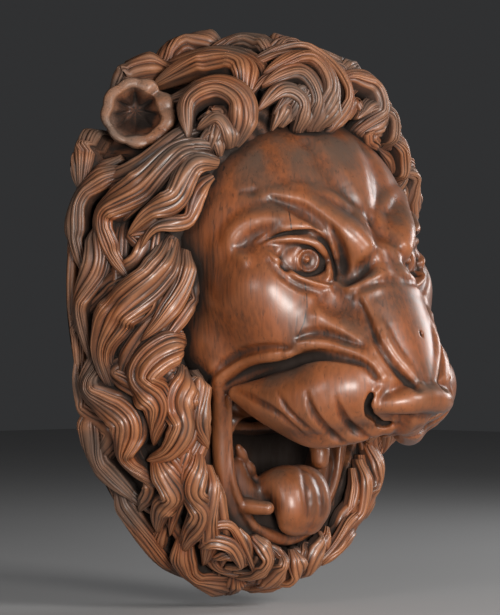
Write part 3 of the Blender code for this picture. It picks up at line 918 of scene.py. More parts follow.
@dataclass(frozen=True)
class Strands:
    """How a lock is cut into strands: rounded ridges in bundles, with sharp cuts between them.

    The mesh has a column of places along every cut and three between two cuts, so that each cut stays sharp.
    The strands differ in width and depth within a range, sway across the lock, and swell along it. Their
    relief grows in from the root and fades towards the tip. Their cuts are painted dark as shade, and their
    highest crests light as wear and a painted highlight.
    """

    count: int
    depth: float
    bundle_depth: float
    per_bundle: int = 3
    inside: tuple[float, ...] = (0.0, 0.15, 0.5, 0.85)
    widths: Range = (0.6, 1.5)
    depths: Range = (0.6, 1.3)
    sway: float = 0.07
    sway_turns: Range = (0.5, 1.3)
    swells: Range = (0.3, 1.0)
    swell_turns: Range = (0.4, 1.6)
    swell_depth: float = 0.35
    bundle_roundness: float = 0.6
    from_root: float = 0.12
    to_tip: float = 0.3
    left_at_tip: float = 0.3
    left_at_root: float = 0.4
    cut_below: float = 0.1
    crest_above: float = 0.9
    in_cut: float = 0.75
    bundle_cut_below: float = 0.2
    bundle_sides: Range = (0.75, 0.2)
    on_bundle_side: float = 0.3
    on_crest: float = 0.7
    crest_level: Range = (-0.4, 0.9)

    def relief(self, along: np.ndarray, seed: int) -> tuple[np.ndarray, np.ndarray, np.ndarray]:
        """The strands' places across the lock, their height and their cuts.

        Args:
            along: Where along the lock each ring is, 0 to 1.
            seed: Which variation.

        Returns:
            For each ring and column the share across the lock from 0 to 1, the height in millimetres, and
            the groove from -1 on a crest to 1 in a cut: wear and a painted highlight on a crest, painted
            shade in a cut.
        """
        chance = np.random.default_rng(seed)
        edges = np.concatenate([[0], np.cumsum(chance.uniform(*self.widths, self.count))])
        edges /= edges[-1]
        inside = np.array(self.inside)
        at = np.append((edges[:-1, None] + np.diff(edges)[:, None] * inside).ravel(), 1.0)
        ridge = np.append(np.tile(np.sqrt(1 - (2 * inside - 1) ** 2), self.count), 0.0)
        which = np.append(np.repeat(np.arange(self.count), len(inside)), self.count - 1)
        rows = along[:, None]
        wave = np.sin(math.tau * (chance.uniform(*self.sway_turns) * rows + chance.random()))
        share = np.clip(at + self.sway * wave * np.sin(math.pi * at), 0, 1)
        turns = chance.uniform(*self.swell_turns, self.count)[which] * rows
        turns = turns + chance.random(self.count)[which]
        level = chance.uniform(*self.swells, self.count)[which] * np.sin(math.tau * turns)
        depth = self.depth * chance.uniform(*self.depths, self.count)[which]
        first = chance.integers(0, self.per_bundle)
        place = (np.arange(len(at)) / len(inside) + first) / self.per_bundle
        bundle = np.abs(np.sin(math.pi * place)) ** self.bundle_roundness
        fading = self.left_at_tip + (1 - self.left_at_tip) * smooth_step(0, self.to_tip, 1 - rows)
        grown = smooth_step(0, self.from_root, rows) * fading
        swollen = self.swell_depth * self.depth * level * smooth_step(0, self.crest_above, ridge)
        height = depth * (ridge - 1) + swollen
        height = height * (self.left_at_root + (1 - self.left_at_root) * grown)
        height = height + self.bundle_depth * (bundle - 1) * grown
        # Cuts are painted dark as shade, darkest between bundles; the highest crests light as wear and a
        # painted highlight.
        deepest = self.in_cut + (1 - self.in_cut) * (bundle < self.bundle_cut_below)
        between = self.on_bundle_side * smooth_step(*self.bundle_sides, bundle)
        cut = np.where(ridge < self.cut_below, deepest, between)
        worn_and_lit = self.on_crest * smooth_step(*self.crest_level, level)
        wear_and_highlight = np.where(ridge > self.crest_above, worn_and_lit, 0)
        return share, height, cut - wear_and_highlight


@dataclass(frozen=True)
class Lock:
    """A waving lock that rises from the skin, swells, and tapers to a point that turns with its route.

    width and lift are millimetres, and route holds spots of the mane's chart. The other sizes are shares of
    the width or of the length, apart from pitch, the millimetres from cut to cut. beside says how far to its
    sides the thinner locks run that follow it.
    """

    width: float
    lift: float
    route: tuple[Spot, ...]
    seed: int
    pitch: float = 3.6
    root: float = 0.45
    widening: float = 3.0
    tip: float = 0.42
    bluntness: float = 0.02
    taper: float = 0.75
    arch: Range = (0.15, 0.90)
    arch_roundness: float = 0.5
    thickness: float = 0.52
    thickness_at_tip: float = 0.30
    sink: float = 0.70
    sink_at_root: float = 0.55
    root_length: float = 0.16
    roll: float = 0.40
    roll_per_bend: float = 1.5
    lean: float = 0.2
    fullness: float = 0.80
    cuts_per_pitch: float = 1.25
    cut_depth: float = 0.40
    bundle_depth: float = 0.08
    full_relief_width: float = 0.35
    beside: tuple[float, ...] = (-0.6, 0.6)
    thinner: float = 0.66
    lower: float = 0.34
    coarser: float = 1.15
    drift: float = 0.3
    drift_turn: float = 1.9
    drift_starts: Range = (0.0, 6.0)
    within: Range = (-0.04, 1.0)

    fewest_rings: int = 14
    fewest_cuts: int = 4
    per_span: int = 16
    under_places: int = 7
    mm_per_degree: float = 2.4
    mm_per_reach: float = 80.0
    skins_apart: float = 7.0
    seeds_apart: int = 7
    other_side_seed: int = 501
    other_side_coarser: float = 1.2

    def mirrored(self) -> "Lock":
        """The same lock on the other side of the mask, cut a little differently.

        Returns:
            The lock.
        """
        return replace(
            self,
            route=tuple((180 - angle, reach) for angle, reach in self.route),
            seed=self.seed + self.other_side_seed,
            pitch=self.other_side_coarser * self.pitch,
            beside=tuple(-shift for shift in self.beside),
        )

    def companions(self) -> list["Lock"]:
        """The thinner locks beside this one."""
        first = self.seed * self.seeds_apart
        return [self.companion(shift, first + k) for k, shift in enumerate(self.beside)]

    def companion(self, shift: float, seed: int) -> "Lock":
        """Lays out a thinner lock that follows this one, lower down.

        Args:
            shift: How far to its side, as a share of this lock's width.
            seed: Which variation.

        Returns:
            The thinner lock.
        """
        chance = np.random.default_rng(seed)
        route = np.array(self.route)
        way = np.gradient(route * (1.0, self.mm_per_reach), axis=0)
        side = unit(np.stack([-way[:, 1], way[:, 0]], axis=1)) * self.width * shift
        turns = np.arange(len(route)) * self.drift_turn + chance.uniform(*self.drift_starts)
        wave = 1 + self.drift * np.sin(turns)
        moved = route + side / (self.mm_per_degree, self.mm_per_reach) * wave[:, None]
        moved[:, 1] = np.clip(moved[:, 1], *self.within)
        return Lock(self.thinner * self.width, self.lift - self.lower * self.width,
                    tuple(map(tuple, moved)), seed, pitch=self.coarser * self.pitch)

    def evenly(self, chart: ManeChart, step: float) -> tuple[np.ndarray, float]:
        """Spaces the lock's rings evenly along its route.

        Args:
            chart: The mane's surface.
            step: About how far apart the rings are.

        Returns:
            The rings' spots on the chart, and the route's rough length.
        """
        rough = chart.spot(*np.array(self.route).T)
        length = float(np.linalg.norm(np.diff(rough, axis=0), axis=1).sum())
        count = max(self.fewest_rings, round(length / step))
        run = curve_through(np.array(self.route), self.per_span)
        steps = np.linalg.norm(np.diff(chart.spot(*run.T), axis=0), axis=1)
        lengths = np.concatenate([[0], np.cumsum(steps)])
        stops = lengths[-1] * np.linspace(0, 1, count)
        return np.stack([np.interp(stops, lengths, run[:, k]) for k in range(2)], axis=1), length

    def section(self, along: np.ndarray, turns: np.ndarray, height: np.ndarray,
                tilt: np.ndarray) -> tuple[np.ndarray, np.ndarray]:
        """Shapes the lock's cross-sections, without the ground that they stand on.

        Args:
            along: Where along the lock each ring is, 0 to 1, as a column.
            turns: The angle of each place round its ring.
            height: The relief at each place.
            tilt: How much each ring leans, as a rise over its half width.

        Returns:
            How far across and how far up each place of each ring lies.
        """
        swell = np.minimum(1, self.root + self.widening * along)
        swell = swell * np.minimum(1, (1 + self.bluntness - along) / self.tip) ** self.taper
        thick = self.width * self.thickness
        half_high = thick * (self.thickness_at_tip + (1 - self.thickness_at_tip) * swell)
        half_wide = 0.5 * self.width * swell
        height = height * np.minimum(1, half_wide / (self.full_relief_width * self.width))
        cosine, sine = np.cos(turns), np.sin(turns)
        flat_cosine = np.sign(cosine) * np.abs(cosine) ** self.fullness
        flat_sine = np.sign(sine) * np.abs(sine) ** self.fullness
        across = half_wide * flat_cosine + height * cosine
        up = half_high * flat_sine + height * np.abs(sine) + tilt * half_wide * flat_cosine
        return across, up

    def skin(self, chart: ManeChart, step: float) -> Skin:
        """Builds the lock's mesh.

        Args:
            chart: The mane's surface.
            step: The length of a face along the lock.

        Returns:
            The lock's skin.
        """
        route, length = self.evenly(chart, step)
        count = len(route)
        along = np.linspace(0, 1, count)[:, None]
        out = chart.normal(*route.T)
        ground = chart.spot(*route.T)
        way = unit(np.gradient(ground, axis=0))
        side = unit(np.cross(way, out))
        bend = np.einsum("ij,ij->i", np.gradient(way, axis=0), side) * count / length * self.width
        lean = np.random.default_rng(self.seed).uniform(-self.lean, self.lean)
        tilt = (self.roll * np.clip(bend * self.roll_per_bend, -1, 1) + lean)[:, None]
        cuts = max(self.fewest_cuts, round(self.cuts_per_pitch * self.width / self.pitch))
        strands = Strands(cuts, self.cut_depth * self.pitch, self.bundle_depth * self.width)
        share, height, groove = strands.relief(along[:, 0], self.seed)
        under = np.linspace(math.pi, math.tau, self.under_places + 2 - share.shape[1] % 2)[1:-1]
        turns = np.concatenate([math.pi * share, np.broadcast_to(under, (count, len(under)))], axis=1)
        # Faces under the lock are painted half dark: painted shade under it.
        share, height, groove = (
            np.concatenate([values, np.full((count, len(under)), fill)], axis=1)
            for values, fill in ((share, 0.5), (height, 0.0), (groove, 0.5))
        )
        across, up = self.section(along, turns, height, tilt)
        start, end = self.arch
        rise = np.sin(math.pi * (start + (end - start) * along)) ** self.arch_roundness
        rooted = 1 - smooth_step(0, self.root_length, along)
        sunk = self.sink_at_root * self.width * self.thickness * rooted
        raised = self.lift * rise - self.width * self.thickness * self.sink - sunk
        rings = (ground + out * raised)[:, None] + side[:, None] * across[..., None]
        rings = rings + out[:, None] * up[..., None]
        rings[..., 1] = np.maximum(rings[..., 1], OFF_THE_WALL)
        lay = np.stack([share * self.width, np.broadcast_to(along * length, share.shape),
                        np.full(share.shape, self.skins_apart * self.seed)], axis=-1)
        return Skin(rings.reshape(-1, 3), tube(rings), groove.reshape(-1), lay.reshape(-1, 3)).facing_out()


@dataclass
class Mane:
    """The mane: a ground that closes it from behind, and locks that lie on it in overlapping waves.

    The ground lies under the chart by a depth, less deep at the rim, and has ridges that run outwards in
    waves. It is closed by a wall round its back, a flat hub, and a funnel to its middle.
    """

    chart: ManeChart = ManeChart()
    under_locks: float = 15.0
    inside_rim: float = 6.0
    middle: Place = (0.0, 12.0, 20.0)
    ridges: int = 72
    ridge_height: float = 2.0
    ridge_fade: Range = (1.0, 0.9)
    rim_from: float = 0.98
    ridge_sway: float = 3.0
    sways_outwards: float = 1.2
    sways_round: int = 4
    angles: int = 360
    reaches: int = 46
    funnel: tuple[Sizes, ...] = ((0.04, 1.0, 0.04), (0.95, 1.0, 0.95))
    hub: float = 0.95
    side_locks: tuple[Lock, ...] = (
        Lock(32, 12, ((134, 0.16), (138, 0.40), (151, 0.58), (160, 0.80), (170, 0.72), (178, 0.56)), 1),
        Lock(24, 16, ((136, 0.10), (141, 0.28), (152, 0.30), (158, 0.46), (165, 0.60)), 2),
        Lock(40, 12, ((163, 0.16), (178, 0.34), (187, 0.64), (197, 0.80), (209, 0.78)), 3),
        Lock(20, 12, ((166, 0.05), (180, 0.12), (190, 0.28), (196, 0.48)), 4),
        Lock(38, 12, ((201, 0.02), (199, 0.24), (205, 0.50), (215, 0.40), (224, 0.54)), 5),
        Lock(34, 10, ((209, 0.05), (215, 0.22), (223, 0.22), (227, 0.38), (227, 0.64)), 6),
        Lock(22, 10, ((212, -0.03), (219, 0.05), (226, 0.08), (234, 0.03)), 7),
        Lock(24, 10, ((146, 0.80), (154, 0.96), (166, 0.97), (176, 0.92)), 8),
        Lock(26, 8, ((160, 0.88), (173, 0.82), (185, 0.93), (200, 0.91)), 9),
        Lock(34, 12, ((198, 0.88), (208, 0.90), (216, 0.68), (225, 0.78), (234, 0.62)), 10),
        Lock(28, 6, ((212, 0.96), (226, 0.98), (236, 0.88)), 11),
        Lock(24, 10, ((226, 0.58), (236, 0.48), (238, 0.66), (244, 0.82)), 12),
        Lock(24, 10, ((232, 0.10), (237, 0.33), (243, 0.33), (246, 0.54), (250, 0.74)), 13),
        Lock(20, 8, ((238, 0.04), (244, 0.30), (249, 0.42), (255, 0.70)), 14),
        Lock(14, 12, ((250, 0.56), (249, 0.40), (253, 0.27), (258, 0.34), (257, 0.52)), 15),
        Lock(26, 3, ((232, 0.97), (246, 0.94), (262, 0.96)), 16),
        Lock(32, 16, ((135, 1.00), (143, 1.00), (154, 0.98)), 17, beside=(0.6,)),
        Lock(18, 8, ((259, 0.00), (263, 0.12), (263, 0.34), (262, 0.60)), 18),
        Lock(20, 8, ((268, -0.04), (268, 0.12), (267, 0.36), (269, 0.66)), 19),
        Lock(28, 8, ((247, 0.68), (255, 0.82), (264, 0.78), (272, 0.90)), 20),
        Lock(22, 6, ((262, 0.62), (267, 0.82), (264, 0.97)), 21),
    )
    crown_locks: tuple[Lock, ...] = (
        Lock(34, 18, ((112, 0.92), (120, 1.00), (130, 1.00)), 31, pitch=6.5, beside=(0.6,)),
        Lock(36, 12, ((97, 0.86), (105, 0.97), (115, 0.96)), 32, pitch=6.5),
        Lock(28, 16, ((116, 0.34), (110, 0.52), (113, 0.72), (120, 0.90)), 33),
        Lock(24, 12, ((98, 0.52), (97, 0.66), (99, 0.78), (106, 0.84)), 34),
        Lock(30, 20, ((129, 0.10), (120, 0.28), (120, 0.48), (127, 0.57), (135, 0.44)), 35, beside=(-0.6,)),
        Lock(18, 14, ((130, 0.10), (127, 0.32), (132, 0.42)), 36),
        Lock(30, 26, ((99, 0.00), (94, 0.18), (97, 0.36), (108, 0.40)), 37),
        Lock(24, 22, ((101, 0.00), (98, 0.14), (101, 0.30), (111, 0.33)), 38),
        Lock(20, 16, ((105, 0.00), (103, 0.14), (108, 0.24), (117, 0.20)), 39),
        Lock(30, 20, ((73, 0.00), (69, 0.12), (73, 0.27), (82, 0.31), (87, 0.24)), 40),
        Lock(24, 20, ((58, -0.06), (60, 0.06), (66, 0.16), (74, 0.15), (78, 0.06)), 41),
        Lock(24, 18, ((41, -0.06), (45, 0.05), (55, 0.10), (66, 0.04)), 42),
        Lock(24, 12, ((92, 0.38), (84, 0.38), (77, 0.28)), 43),
        Lock(26, 12, ((100, 0.58), (93, 0.60), (85, 0.48)), 44),
        Lock(28, 12, ((78, 0.44), (70, 0.60), (60, 0.58)), 45),
        Lock(28, 10, ((90, 0.74), (78, 0.82), (66, 0.78)), 46),
        Lock(28, 10, ((60, 0.34), (52, 0.46), (44, 0.42)), 47),
        Lock(30, 6, ((88, 0.93), (77, 0.98), (66, 0.96)), 48),
        Lock(26, 6, ((62, 0.94), (54, 1.00), (46, 1.00)), 49, beside=(-0.6,)),
    )
    fine_step: float = 2.6
    plain_step: float = 3.6
    thinner_step: float = 1.3

    def ground(self) -> Skin:
        """Builds the block behind the locks, flat against the wall.

        Returns:
            The ground's skin.
        """
        angles = np.arange(0, 360, 360 / self.angles)
        degrees, reach = np.meshgrid(angles, np.linspace(1, 0, self.reaches))
        swaying = math.tau * (reach * self.sways_outwards + degrees / (360 / self.sways_round))
        waves = self.ridge_sway * np.sin(swaying) + degrees
        ridge = np.abs(np.sin(np.radians(waves) * (self.ridges / 2)))
        sunk = np.where(reach > self.rim_from, self.inside_rim, self.under_locks)
        level = self.ridge_height * ridge * smooth_step(*self.ridge_fade, reach) - sunk
        rings = self.chart.spot(degrees, reach) + self.chart.normal(degrees, reach) * level[..., None]
        rings[..., 1] = np.maximum(rings[..., 1], 0.0)
        back = rings[0].copy()
        back[:, 1] = 0.0
        middle = np.array(self.middle)
        inner = [rings[-1] + (middle - rings[-1]) * share for share in self.funnel]
        hub = back + (np.array([0.0, 0.0, self.middle[2]]) - back) * self.hub
        rings = np.concatenate([[hub], [back], rings, inner])
        # The valleys between the ridges, and the funnel, are painted darker: painted shade.
        ends = np.full((2, self.angles), 0.0), np.full((2, self.angles), 0.5)
        groove = np.concatenate([ends[0], 1 - ridge, ends[1]])
        return Skin(rings.reshape(-1, 3), tube(rings), groove.reshape(-1)).facing_out()

    def laid(self, own: tuple[Lock, ...], step: float) -> Skin:
        """Lays locks on the ground, with the thinner ones between them.

        Args:
            own: The locks.
            step: The length of a face along them.

        Returns:
            One skin of them all.
        """
        between = [thin for lock in own for thin in lock.companions()]
        skins = [lock.skin(self.chart, step) for lock in own]
        return Skin.joined(skins + [lock.skin(self.chart, self.thinner_step * step) for lock in between])

    def locks(self, side: Side) -> Skin:
        """Lays the locks of one side.

        Args:
            side: Which side. The left one, which the photograph hides, has the right one's locks mirrored.

        Returns:
            One skin of them all.
        """
        if side is Side.RIGHT:
            return self.laid(self.side_locks, self.fine_step)
        return self.laid(tuple(lock.mirrored() for lock in self.side_locks), self.plain_step)

    def crown(self) -> Skin:
        """The tufts over the forehead."""
        return self.laid(self.crown_locks, self.fine_step)


@dataclass(frozen=True)
class Ear:
    """A round ear: a broad, roughly cut rim round a deep, fluted cup that is set off its middle.

    The backing reaches behind the rim into the mane. A notch is cut through the rim at one turn. A wave is
    its height, how many there are round the ear, and where it starts. A roundness is a power under 1.
    """

    side: Side
    place: Place = (139.5, 48.5, 174.0)
    opens: Place = (1.0, 1.0, 0.15)
    radius: float = 33.0
    cup: float = 21.0
    offset: Spot = (-3.5, 1.0)
    depth: float = 22.0
    rim_high: float = 4.0
    rim_at_cup: float = 0.15
    rim_roundness: float = 0.25
    rim_waves: tuple[tuple[float, int, float], ...] = ((1.2, 2, 1.0),)
    cup_waves: tuple[tuple[float, int, float], ...] = ((1.4, 3, 0.5), (0.7, 7, 0.0))
    cup_roundness: float = 0.55
    cup_fullness: float = 0.8
    cup_end: float = 0.15
    # How far down the cup is painted darker, and how much along its flutes: painted shade.
    cup_shade: Range = (0.7, 1.0)
    shade_from: float = 0.25
    notch_at: float = 5.5
    notch_wide: float = 0.22
    notch_outside: float = 3.5
    notch_inside: float = 2.5
    notch_deep: float = 3.0
    sinks: float = 6.0
    behind: float = 34.0
    behind_roundness: float = 0.5
    behind_end: float = 0.2
    flutes: int = 4
    flute_deep: float = 0.3
    flute_sway: float = 0.5
    facets: int = 9
    facet_high: float = 2.0
    facet_start: float = 0.6
    facets_over_rim: float = 0.7
    corners: int = 144
    backing_rings: int = 12
    rim_rings: int = 13
    cup_rings: int = 21

    def rim(self, turns: np.ndarray) -> tuple[np.ndarray, ...]:
        """Cuts the rim's facets and its notch.

        Args:
            turns: Angles round the ear.

        Returns:
            The facets' height, the notch from 0 to 1, and the rim's outer and inner radius at each angle.
        """
        cut = self.facet_high * np.abs(np.sin(0.5 * self.facets * turns + self.facet_start))
        waves = (high * np.sin(count * turns + start) for high, count, start in self.rim_waves)
        cut = sum(waves, cut)
        notch = np.exp(-((turns - self.notch_at) / self.notch_wide) ** 2)
        outer = self.radius - self.facet_high + cut - self.notch_outside * notch
        waves = (high * np.sin(count * turns + start) for high, count, start in self.cup_waves)
        inner = sum(waves, self.cup) + self.notch_inside * notch
        return cut, notch, outer, inner

    def ring(self, share: float, turns: np.ndarray) -> tuple[np.ndarray, np.ndarray, Spot, np.ndarray]:
        """Shapes one ring of the ear.

        Args:
            share: Where the ring lies: -1 to 0 up the backing, 0 to 1 over the rim, 1 to 2 down the cup.
            turns: Angles round the ear.

        Returns:
            The ring's radius and height at each angle, its centre, and its groove at each angle, which
            paints shade down in the cup.
        """
        cut, notch, outer, inner = self.rim(turns)
        if share <= 0:
            radial = outer * math.cos(share * math.pi / 2) ** self.behind_roundness + self.behind_end
            return radial, np.full_like(turns, share * self.behind), (0.0, 0.0), np.zeros_like(turns)
        if share <= 1:
            over = math.sin(math.pi * share) ** self.rim_roundness
            radial = outer + (inner - outer) * share
            height = self.rim_high * (self.rim_at_cup + (1 - self.rim_at_cup) * over)
            height = height + (self.facets_over_rim * cut - self.notch_deep * notch) * over
            return radial, height, tuple(share * shift for shift in self.offset), np.zeros_like(turns)
        down = share - 1
        ridge = np.abs(np.sin(self.flutes * turns + self.flute_sway * np.sin(2 * turns)))
        fluted = 1 - self.flute_deep * ridge * math.sin(math.pi * down)
        radial = inner * (1 - down) ** self.cup_roundness * fluted + self.cup_end
        sunk = self.depth * math.sin(down * math.pi / 2) ** self.cup_fullness
        height = self.rim_high * self.rim_at_cup - sunk
        # Down in the cup the colour is painted darker: painted shade.
        least, most = self.cup_shade
        groove = smooth_step(0, self.shade_from, np.full_like(turns, down)) * (least + (most - least) * ridge)
        centre = self.offset[0], self.offset[1] - self.sinks * down
        return radial, np.full_like(turns, height), centre, groove

    def skin(self) -> Skin:
        """Turns the ear from its backing over the rim and down into the cup.

        Returns:
            The ear's skin.
        """
        out = unit(np.array([self.side.value * self.opens[0], self.opens[1], self.opens[2]]))
        across = unit(np.cross(np.array([0.0, 0.0, 1.0]), out)) * self.side.value
        up = unit(np.cross(across, out)) * self.side.value
        place = np.array([self.side.value * self.place[0], *self.place[1:]])
        turns = np.linspace(0, math.tau, self.corners + 1)[:-1]
        shares = np.concatenate([
            np.linspace(-1, 0, self.backing_rings),
            np.linspace(0, 1, self.rim_rings + 1)[1:],
            np.linspace(1, 2, self.cup_rings + 1)[1:],
        ])
        rings, grooves = [], []
        for share in shares:
            radial, height, centre, groove = self.ring(share, turns)
            rings.append(
                place
                + across * (radial * np.cos(turns) + centre[0])[:, None]
                + up * (radial * np.sin(turns) + centre[1])[:, None]
                + out * height[:, None]
            )
            grooves.append(groove)
        rings = np.array(rings)
        rings[..., 1] = np.maximum(rings[..., 1], OFF_THE_WALL)
        return Skin(rings.reshape(-1, 3), tube(rings), np.array(grooves).reshape(-1)).facing_out()


@dataclass
class Hollows:
    """How closed in each place of the carving is, from two blurs of the whole solid.

    The grid reaches as many cells past the carving as margin says.
    """

    step: float = 3.0
    near: float = 8.0
    wide: float = 20.0
    margin: int = 12
    band: float = 3.0
    low: np.ndarray = field(init=False)
    blurs: list[np.ndarray] = field(init=False)

    def fill(self, skins: list[Skin]) -> None:
        """Turns the pieces into one filled grid, and blurs it.

        Args:
            skins: The pieces' skins.
        """
        whole = Skin.joined(skins)
        cells = openvdb.createLinearTransform(voxelSize=self.step)
        grid = openvdb.FloatGrid.createLevelSetFromPolygons(
            whole.places, quads=whole.quads, transform=cells, halfWidth=self.band,
        )
        self.low = np.floor(whole.places.min(0) / self.step).astype(int) - self.margin
        size = np.ceil(whole.places.max(0) / self.step).astype(int) + self.margin - self.low
        values = np.full(size, self.band * self.step, np.float32)
        grid.copyToArray(values, ijk=tuple(int(v) for v in self.low))
        solid = (values < 0).astype(np.float32)
        self.blurs = [blurred(solid, radius / self.step) for radius in (self.near, self.wide)]

    def at(self, places: np.ndarray) -> tuple[np.ndarray, np.ndarray]:
        """Both blurs at places, 0.5 on a flat."""
        spots = places / self.step - self.low
        return interpolated(self.blurs[0], spots), interpolated(self.blurs[1], spots)


@dataclass(frozen=True)
class Noise:
    """How fine a noise is, its share along each axis (a small one draws it out) and its finer layers."""

    scale: float
    stretch: Sizes
    layers: float


class Graph:
    """Places and joins shader nodes in a tree.

    The four numbers say where the sockets of a node that mixes colours stand.
    """

    MIX_SHARE, MIX_FIRST, MIX_SECOND, MIX_RESULT = 0, 6, 7, 2

    def __init__(self, tree: bpy.types.NodeTree) -> None:
        """Works in a tree."""
        self.tree = tree

    def node(self, kind: str, **settings: object) -> bpy.types.Node:
        """Places a node.

        Args:
            kind: The node's type, without its leading ShaderNode.
            settings: Properties of the node, such as its operation.

        Returns:
            The node.
        """
        made = self.tree.nodes.new("ShaderNode" + kind)
        for name, value in settings.items():
            setattr(made, name, value)
        return made

    def put(self, socket: bpy.types.NodeSocket, value: object) -> None:
        """Sets a socket, or joins another to it.

        Args:
            socket: An input.
            value: Its value, or the output that feeds it.
        """
        if isinstance(value, bpy.types.NodeSocket):
            self.tree.links.new(value, socket)
        else:
            socket.default_value = value

    def math(self, operation: str, *values: object, clamp: bool = False) -> bpy.types.NodeSocket:
        """Does arithmetic.

        Args:
            operation: What is done, in Blender's name for it.
            values: Numbers or outputs.
            clamp: Whether the result is held between 0 and 1.

        Returns:
            The result's output.
        """
        made = self.node("Math", operation=operation, use_clamp=clamp)
        for socket, value in zip(made.inputs, values):
            self.put(socket, value)
        return made.outputs[0]

    def spread(self, value: object, between: Range) -> bpy.types.NodeSocket:
        """Takes the first of two values to 0 and the second to 1, smoothly.

        Args:
            value: A number or an output.
            between: The two values.

        Returns:
            The result's output.
        """
        made = self.node("MapRange", interpolation_type="SMOOTHSTEP")
        for name, number in (("Value", value), ("From Min", between[0]), ("From Max", between[1])):
            self.put(made.inputs[name], number)
        return made.outputs["Result"]

    def mix(self, share: object, first: object, second: object) -> bpy.types.NodeSocket:
        """Mixes two colours.

        Args:
            share: How much of the second.
            first: One colour, or the output that gives it.
            second: The other.

        Returns:
            The mixed colour's output.
        """
        made = self.node("Mix", data_type="RGBA")
        for index, value in ((self.MIX_SHARE, share), (self.MIX_FIRST, first), (self.MIX_SECOND, second)):
            self.put(made.inputs[index], value)
        return made.outputs[self.MIX_RESULT]

    def noise(self, place: bpy.types.NodeSocket, kind: Noise) -> bpy.types.NodeSocket:
        """Places a noise.

        Args:
            place: What it is laid over.
            kind: Which noise.

        Returns:
            The noise's output.
        """
        mapping = self.node("Mapping")
        self.put(mapping.inputs["Vector"], place)
        mapping.inputs["Scale"].default_value = kind.stretch
        made = self.node("TexNoise")
        self.put(made.inputs["Vector"], mapping.outputs[0])
        made.inputs["Scale"].default_value = kind.scale
        made.inputs["Detail"].default_value = kind.layers
        return made.outputs["Fac"]


def node_group(name: str, takes: tuple[tuple[str, str], ...], gives: tuple[tuple[str, str], ...]) -> Graph:
    """An empty shader node group.

    Args:
        name: Its name.
        takes: The name and kind (Float or Color) of each input.
        gives: The name and kind of each output.

    Returns:
        A graph in the group, with the nodes "takes" and "gives" for its two ends.
    """
    tree = bpy.data.node_groups.new(name, "ShaderNodeTree")
    for direction, sockets in (("INPUT", takes), ("OUTPUT", gives)):
        for label, kind in sockets:
            tree.interface.new_socket(name=label, in_out=direction, socket_type="NodeSocket" + kind)
    tree.nodes.new("NodeGroupInput").name = "takes"
    tree.nodes.new("NodeGroupOutput").name = "gives"
    return Graph(tree)


FIGURE = tuple((name, "Float") for name in ("Streak", "Blotch", "Pore", "Relief"))
EVENLY: Sizes = (1.0, 1.0, 1.0)


@dataclass(frozen=True)
class Grain:
    """The wood's figure: streaks up and down, soft blotches and open pores.

    Each range gives the values of a noise that count as none and as all.
    """

    streak: Noise = Noise(330.0, (1.0, 1.0, 0.06), 4)
    streaks: Range = (0.36, 0.64)
    blotch: Noise = Noise(32.0, (1.0, 1.0, 0.4), 5)
    blotches: Range = (0.34, 0.66)
    pore: Noise = Noise(420.0, (1.0, 1.0, 0.09), 2)
    pores: Range = (0.60, 0.70)
    dimple: Noise = Noise(55.0, (1.0, 1.0, 0.6), 3)
    dimple_high: float = 0.9
    streak_high: float = 0.35
    pore_high: float = -0.12

    def group(self) -> bpy.types.NodeTree:
        """Builds the group.

        Returns:
            The group. It gives Streak, Blotch, Pore and Relief, each about 0 to 1.
        """
        graph = node_group("wood_grain", (), FIGURE)
        place = graph.node("TexCoord").outputs["Object"]
        streak, blotch = graph.noise(place, self.streak), graph.noise(place, self.blotch)
        pore, dimple = graph.noise(place, self.pore), graph.noise(place, self.dimple)
        gives = graph.tree.nodes["gives"]
        pores = graph.spread(pore, self.pores)
        graph.put(gives.inputs["Streak"], graph.spread(streak, self.streaks))
        graph.put(gives.inputs["Blotch"], graph.spread(blotch, self.blotches))
        graph.put(gives.inputs["Pore"], pores)
        streaks_high = graph.math("MULTIPLY", streak, self.streak_high)
        relief = graph.math("MULTIPLY_ADD", dimple, self.dimple_high, streaks_high)
        graph.put(gives.inputs["Relief"], graph.math("MULTIPLY_ADD", pores, self.pore_high, relief))
        return graph.tree


@dataclass(frozen=True)
class GougeLines:
    """Fine lines that a small gouge left along the hair, and the patches of wax over them."""

    line: Noise = Noise(0.75, (1.0, 0.035, 1.0), 3)
    lines: Range = (0.35, 0.65)
    cuts: Range = (0.44, 0.34)
    patch: Noise = Noise(17.0, EVENLY, 4)
    patches: Range = (0.36, 0.66)

    def group(self) -> bpy.types.NodeTree:
        """Builds the group.

        Returns:
            The group. It gives the same as the wood's figure, laid along the strands.
        """
        graph = node_group("gouge_lines", (), FIGURE)
        lay = graph.node("Attribute", attribute_name="lay").outputs["Vector"]
        place = graph.node("TexCoord").outputs["Object"]
        lines, patches = graph.noise(lay, self.line), graph.noise(place, self.patch)
        gives = graph.tree.nodes["gives"]
        graph.put(gives.inputs["Streak"], graph.spread(lines, self.lines))
        graph.put(gives.inputs["Blotch"], graph.spread(patches, self.patches))
        graph.put(gives.inputs["Pore"], graph.spread(lines, self.cuts))
        graph.put(gives.inputs["Relief"], lines)
        return graph.tree


@dataclass(frozen=True)
class GlueLine:
    """The dark line of a glued joint, open in some places and closed in others."""

    across: Range = (0.75, 0.3)
    gap: Noise = Noise(160.0, EVENLY, 2)
    gaps: Range = (0.35, 0.5)
    dark: float = 0.85

    def group(self) -> bpy.types.NodeTree:
        """Builds the group.

        Returns:
            The group. It gives Line, which is as dark as the joint gets, and 0 away from it.
        """
        graph = node_group("glue_line", (), (("Line", "Float"),))
        away = graph.math("ABSOLUTE", graph.node("Attribute", attribute_name="joint").outputs["Fac"])
        place = graph.node("TexCoord").outputs["Object"]
        broken = graph.spread(graph.noise(place, self.gap), self.gaps)
        line = graph.math("MULTIPLY", graph.spread(away, self.across), broken)
        graph.put(graph.tree.nodes["gives"].inputs["Line"], graph.math("MULTIPLY", line, self.dark))
        return graph.tree


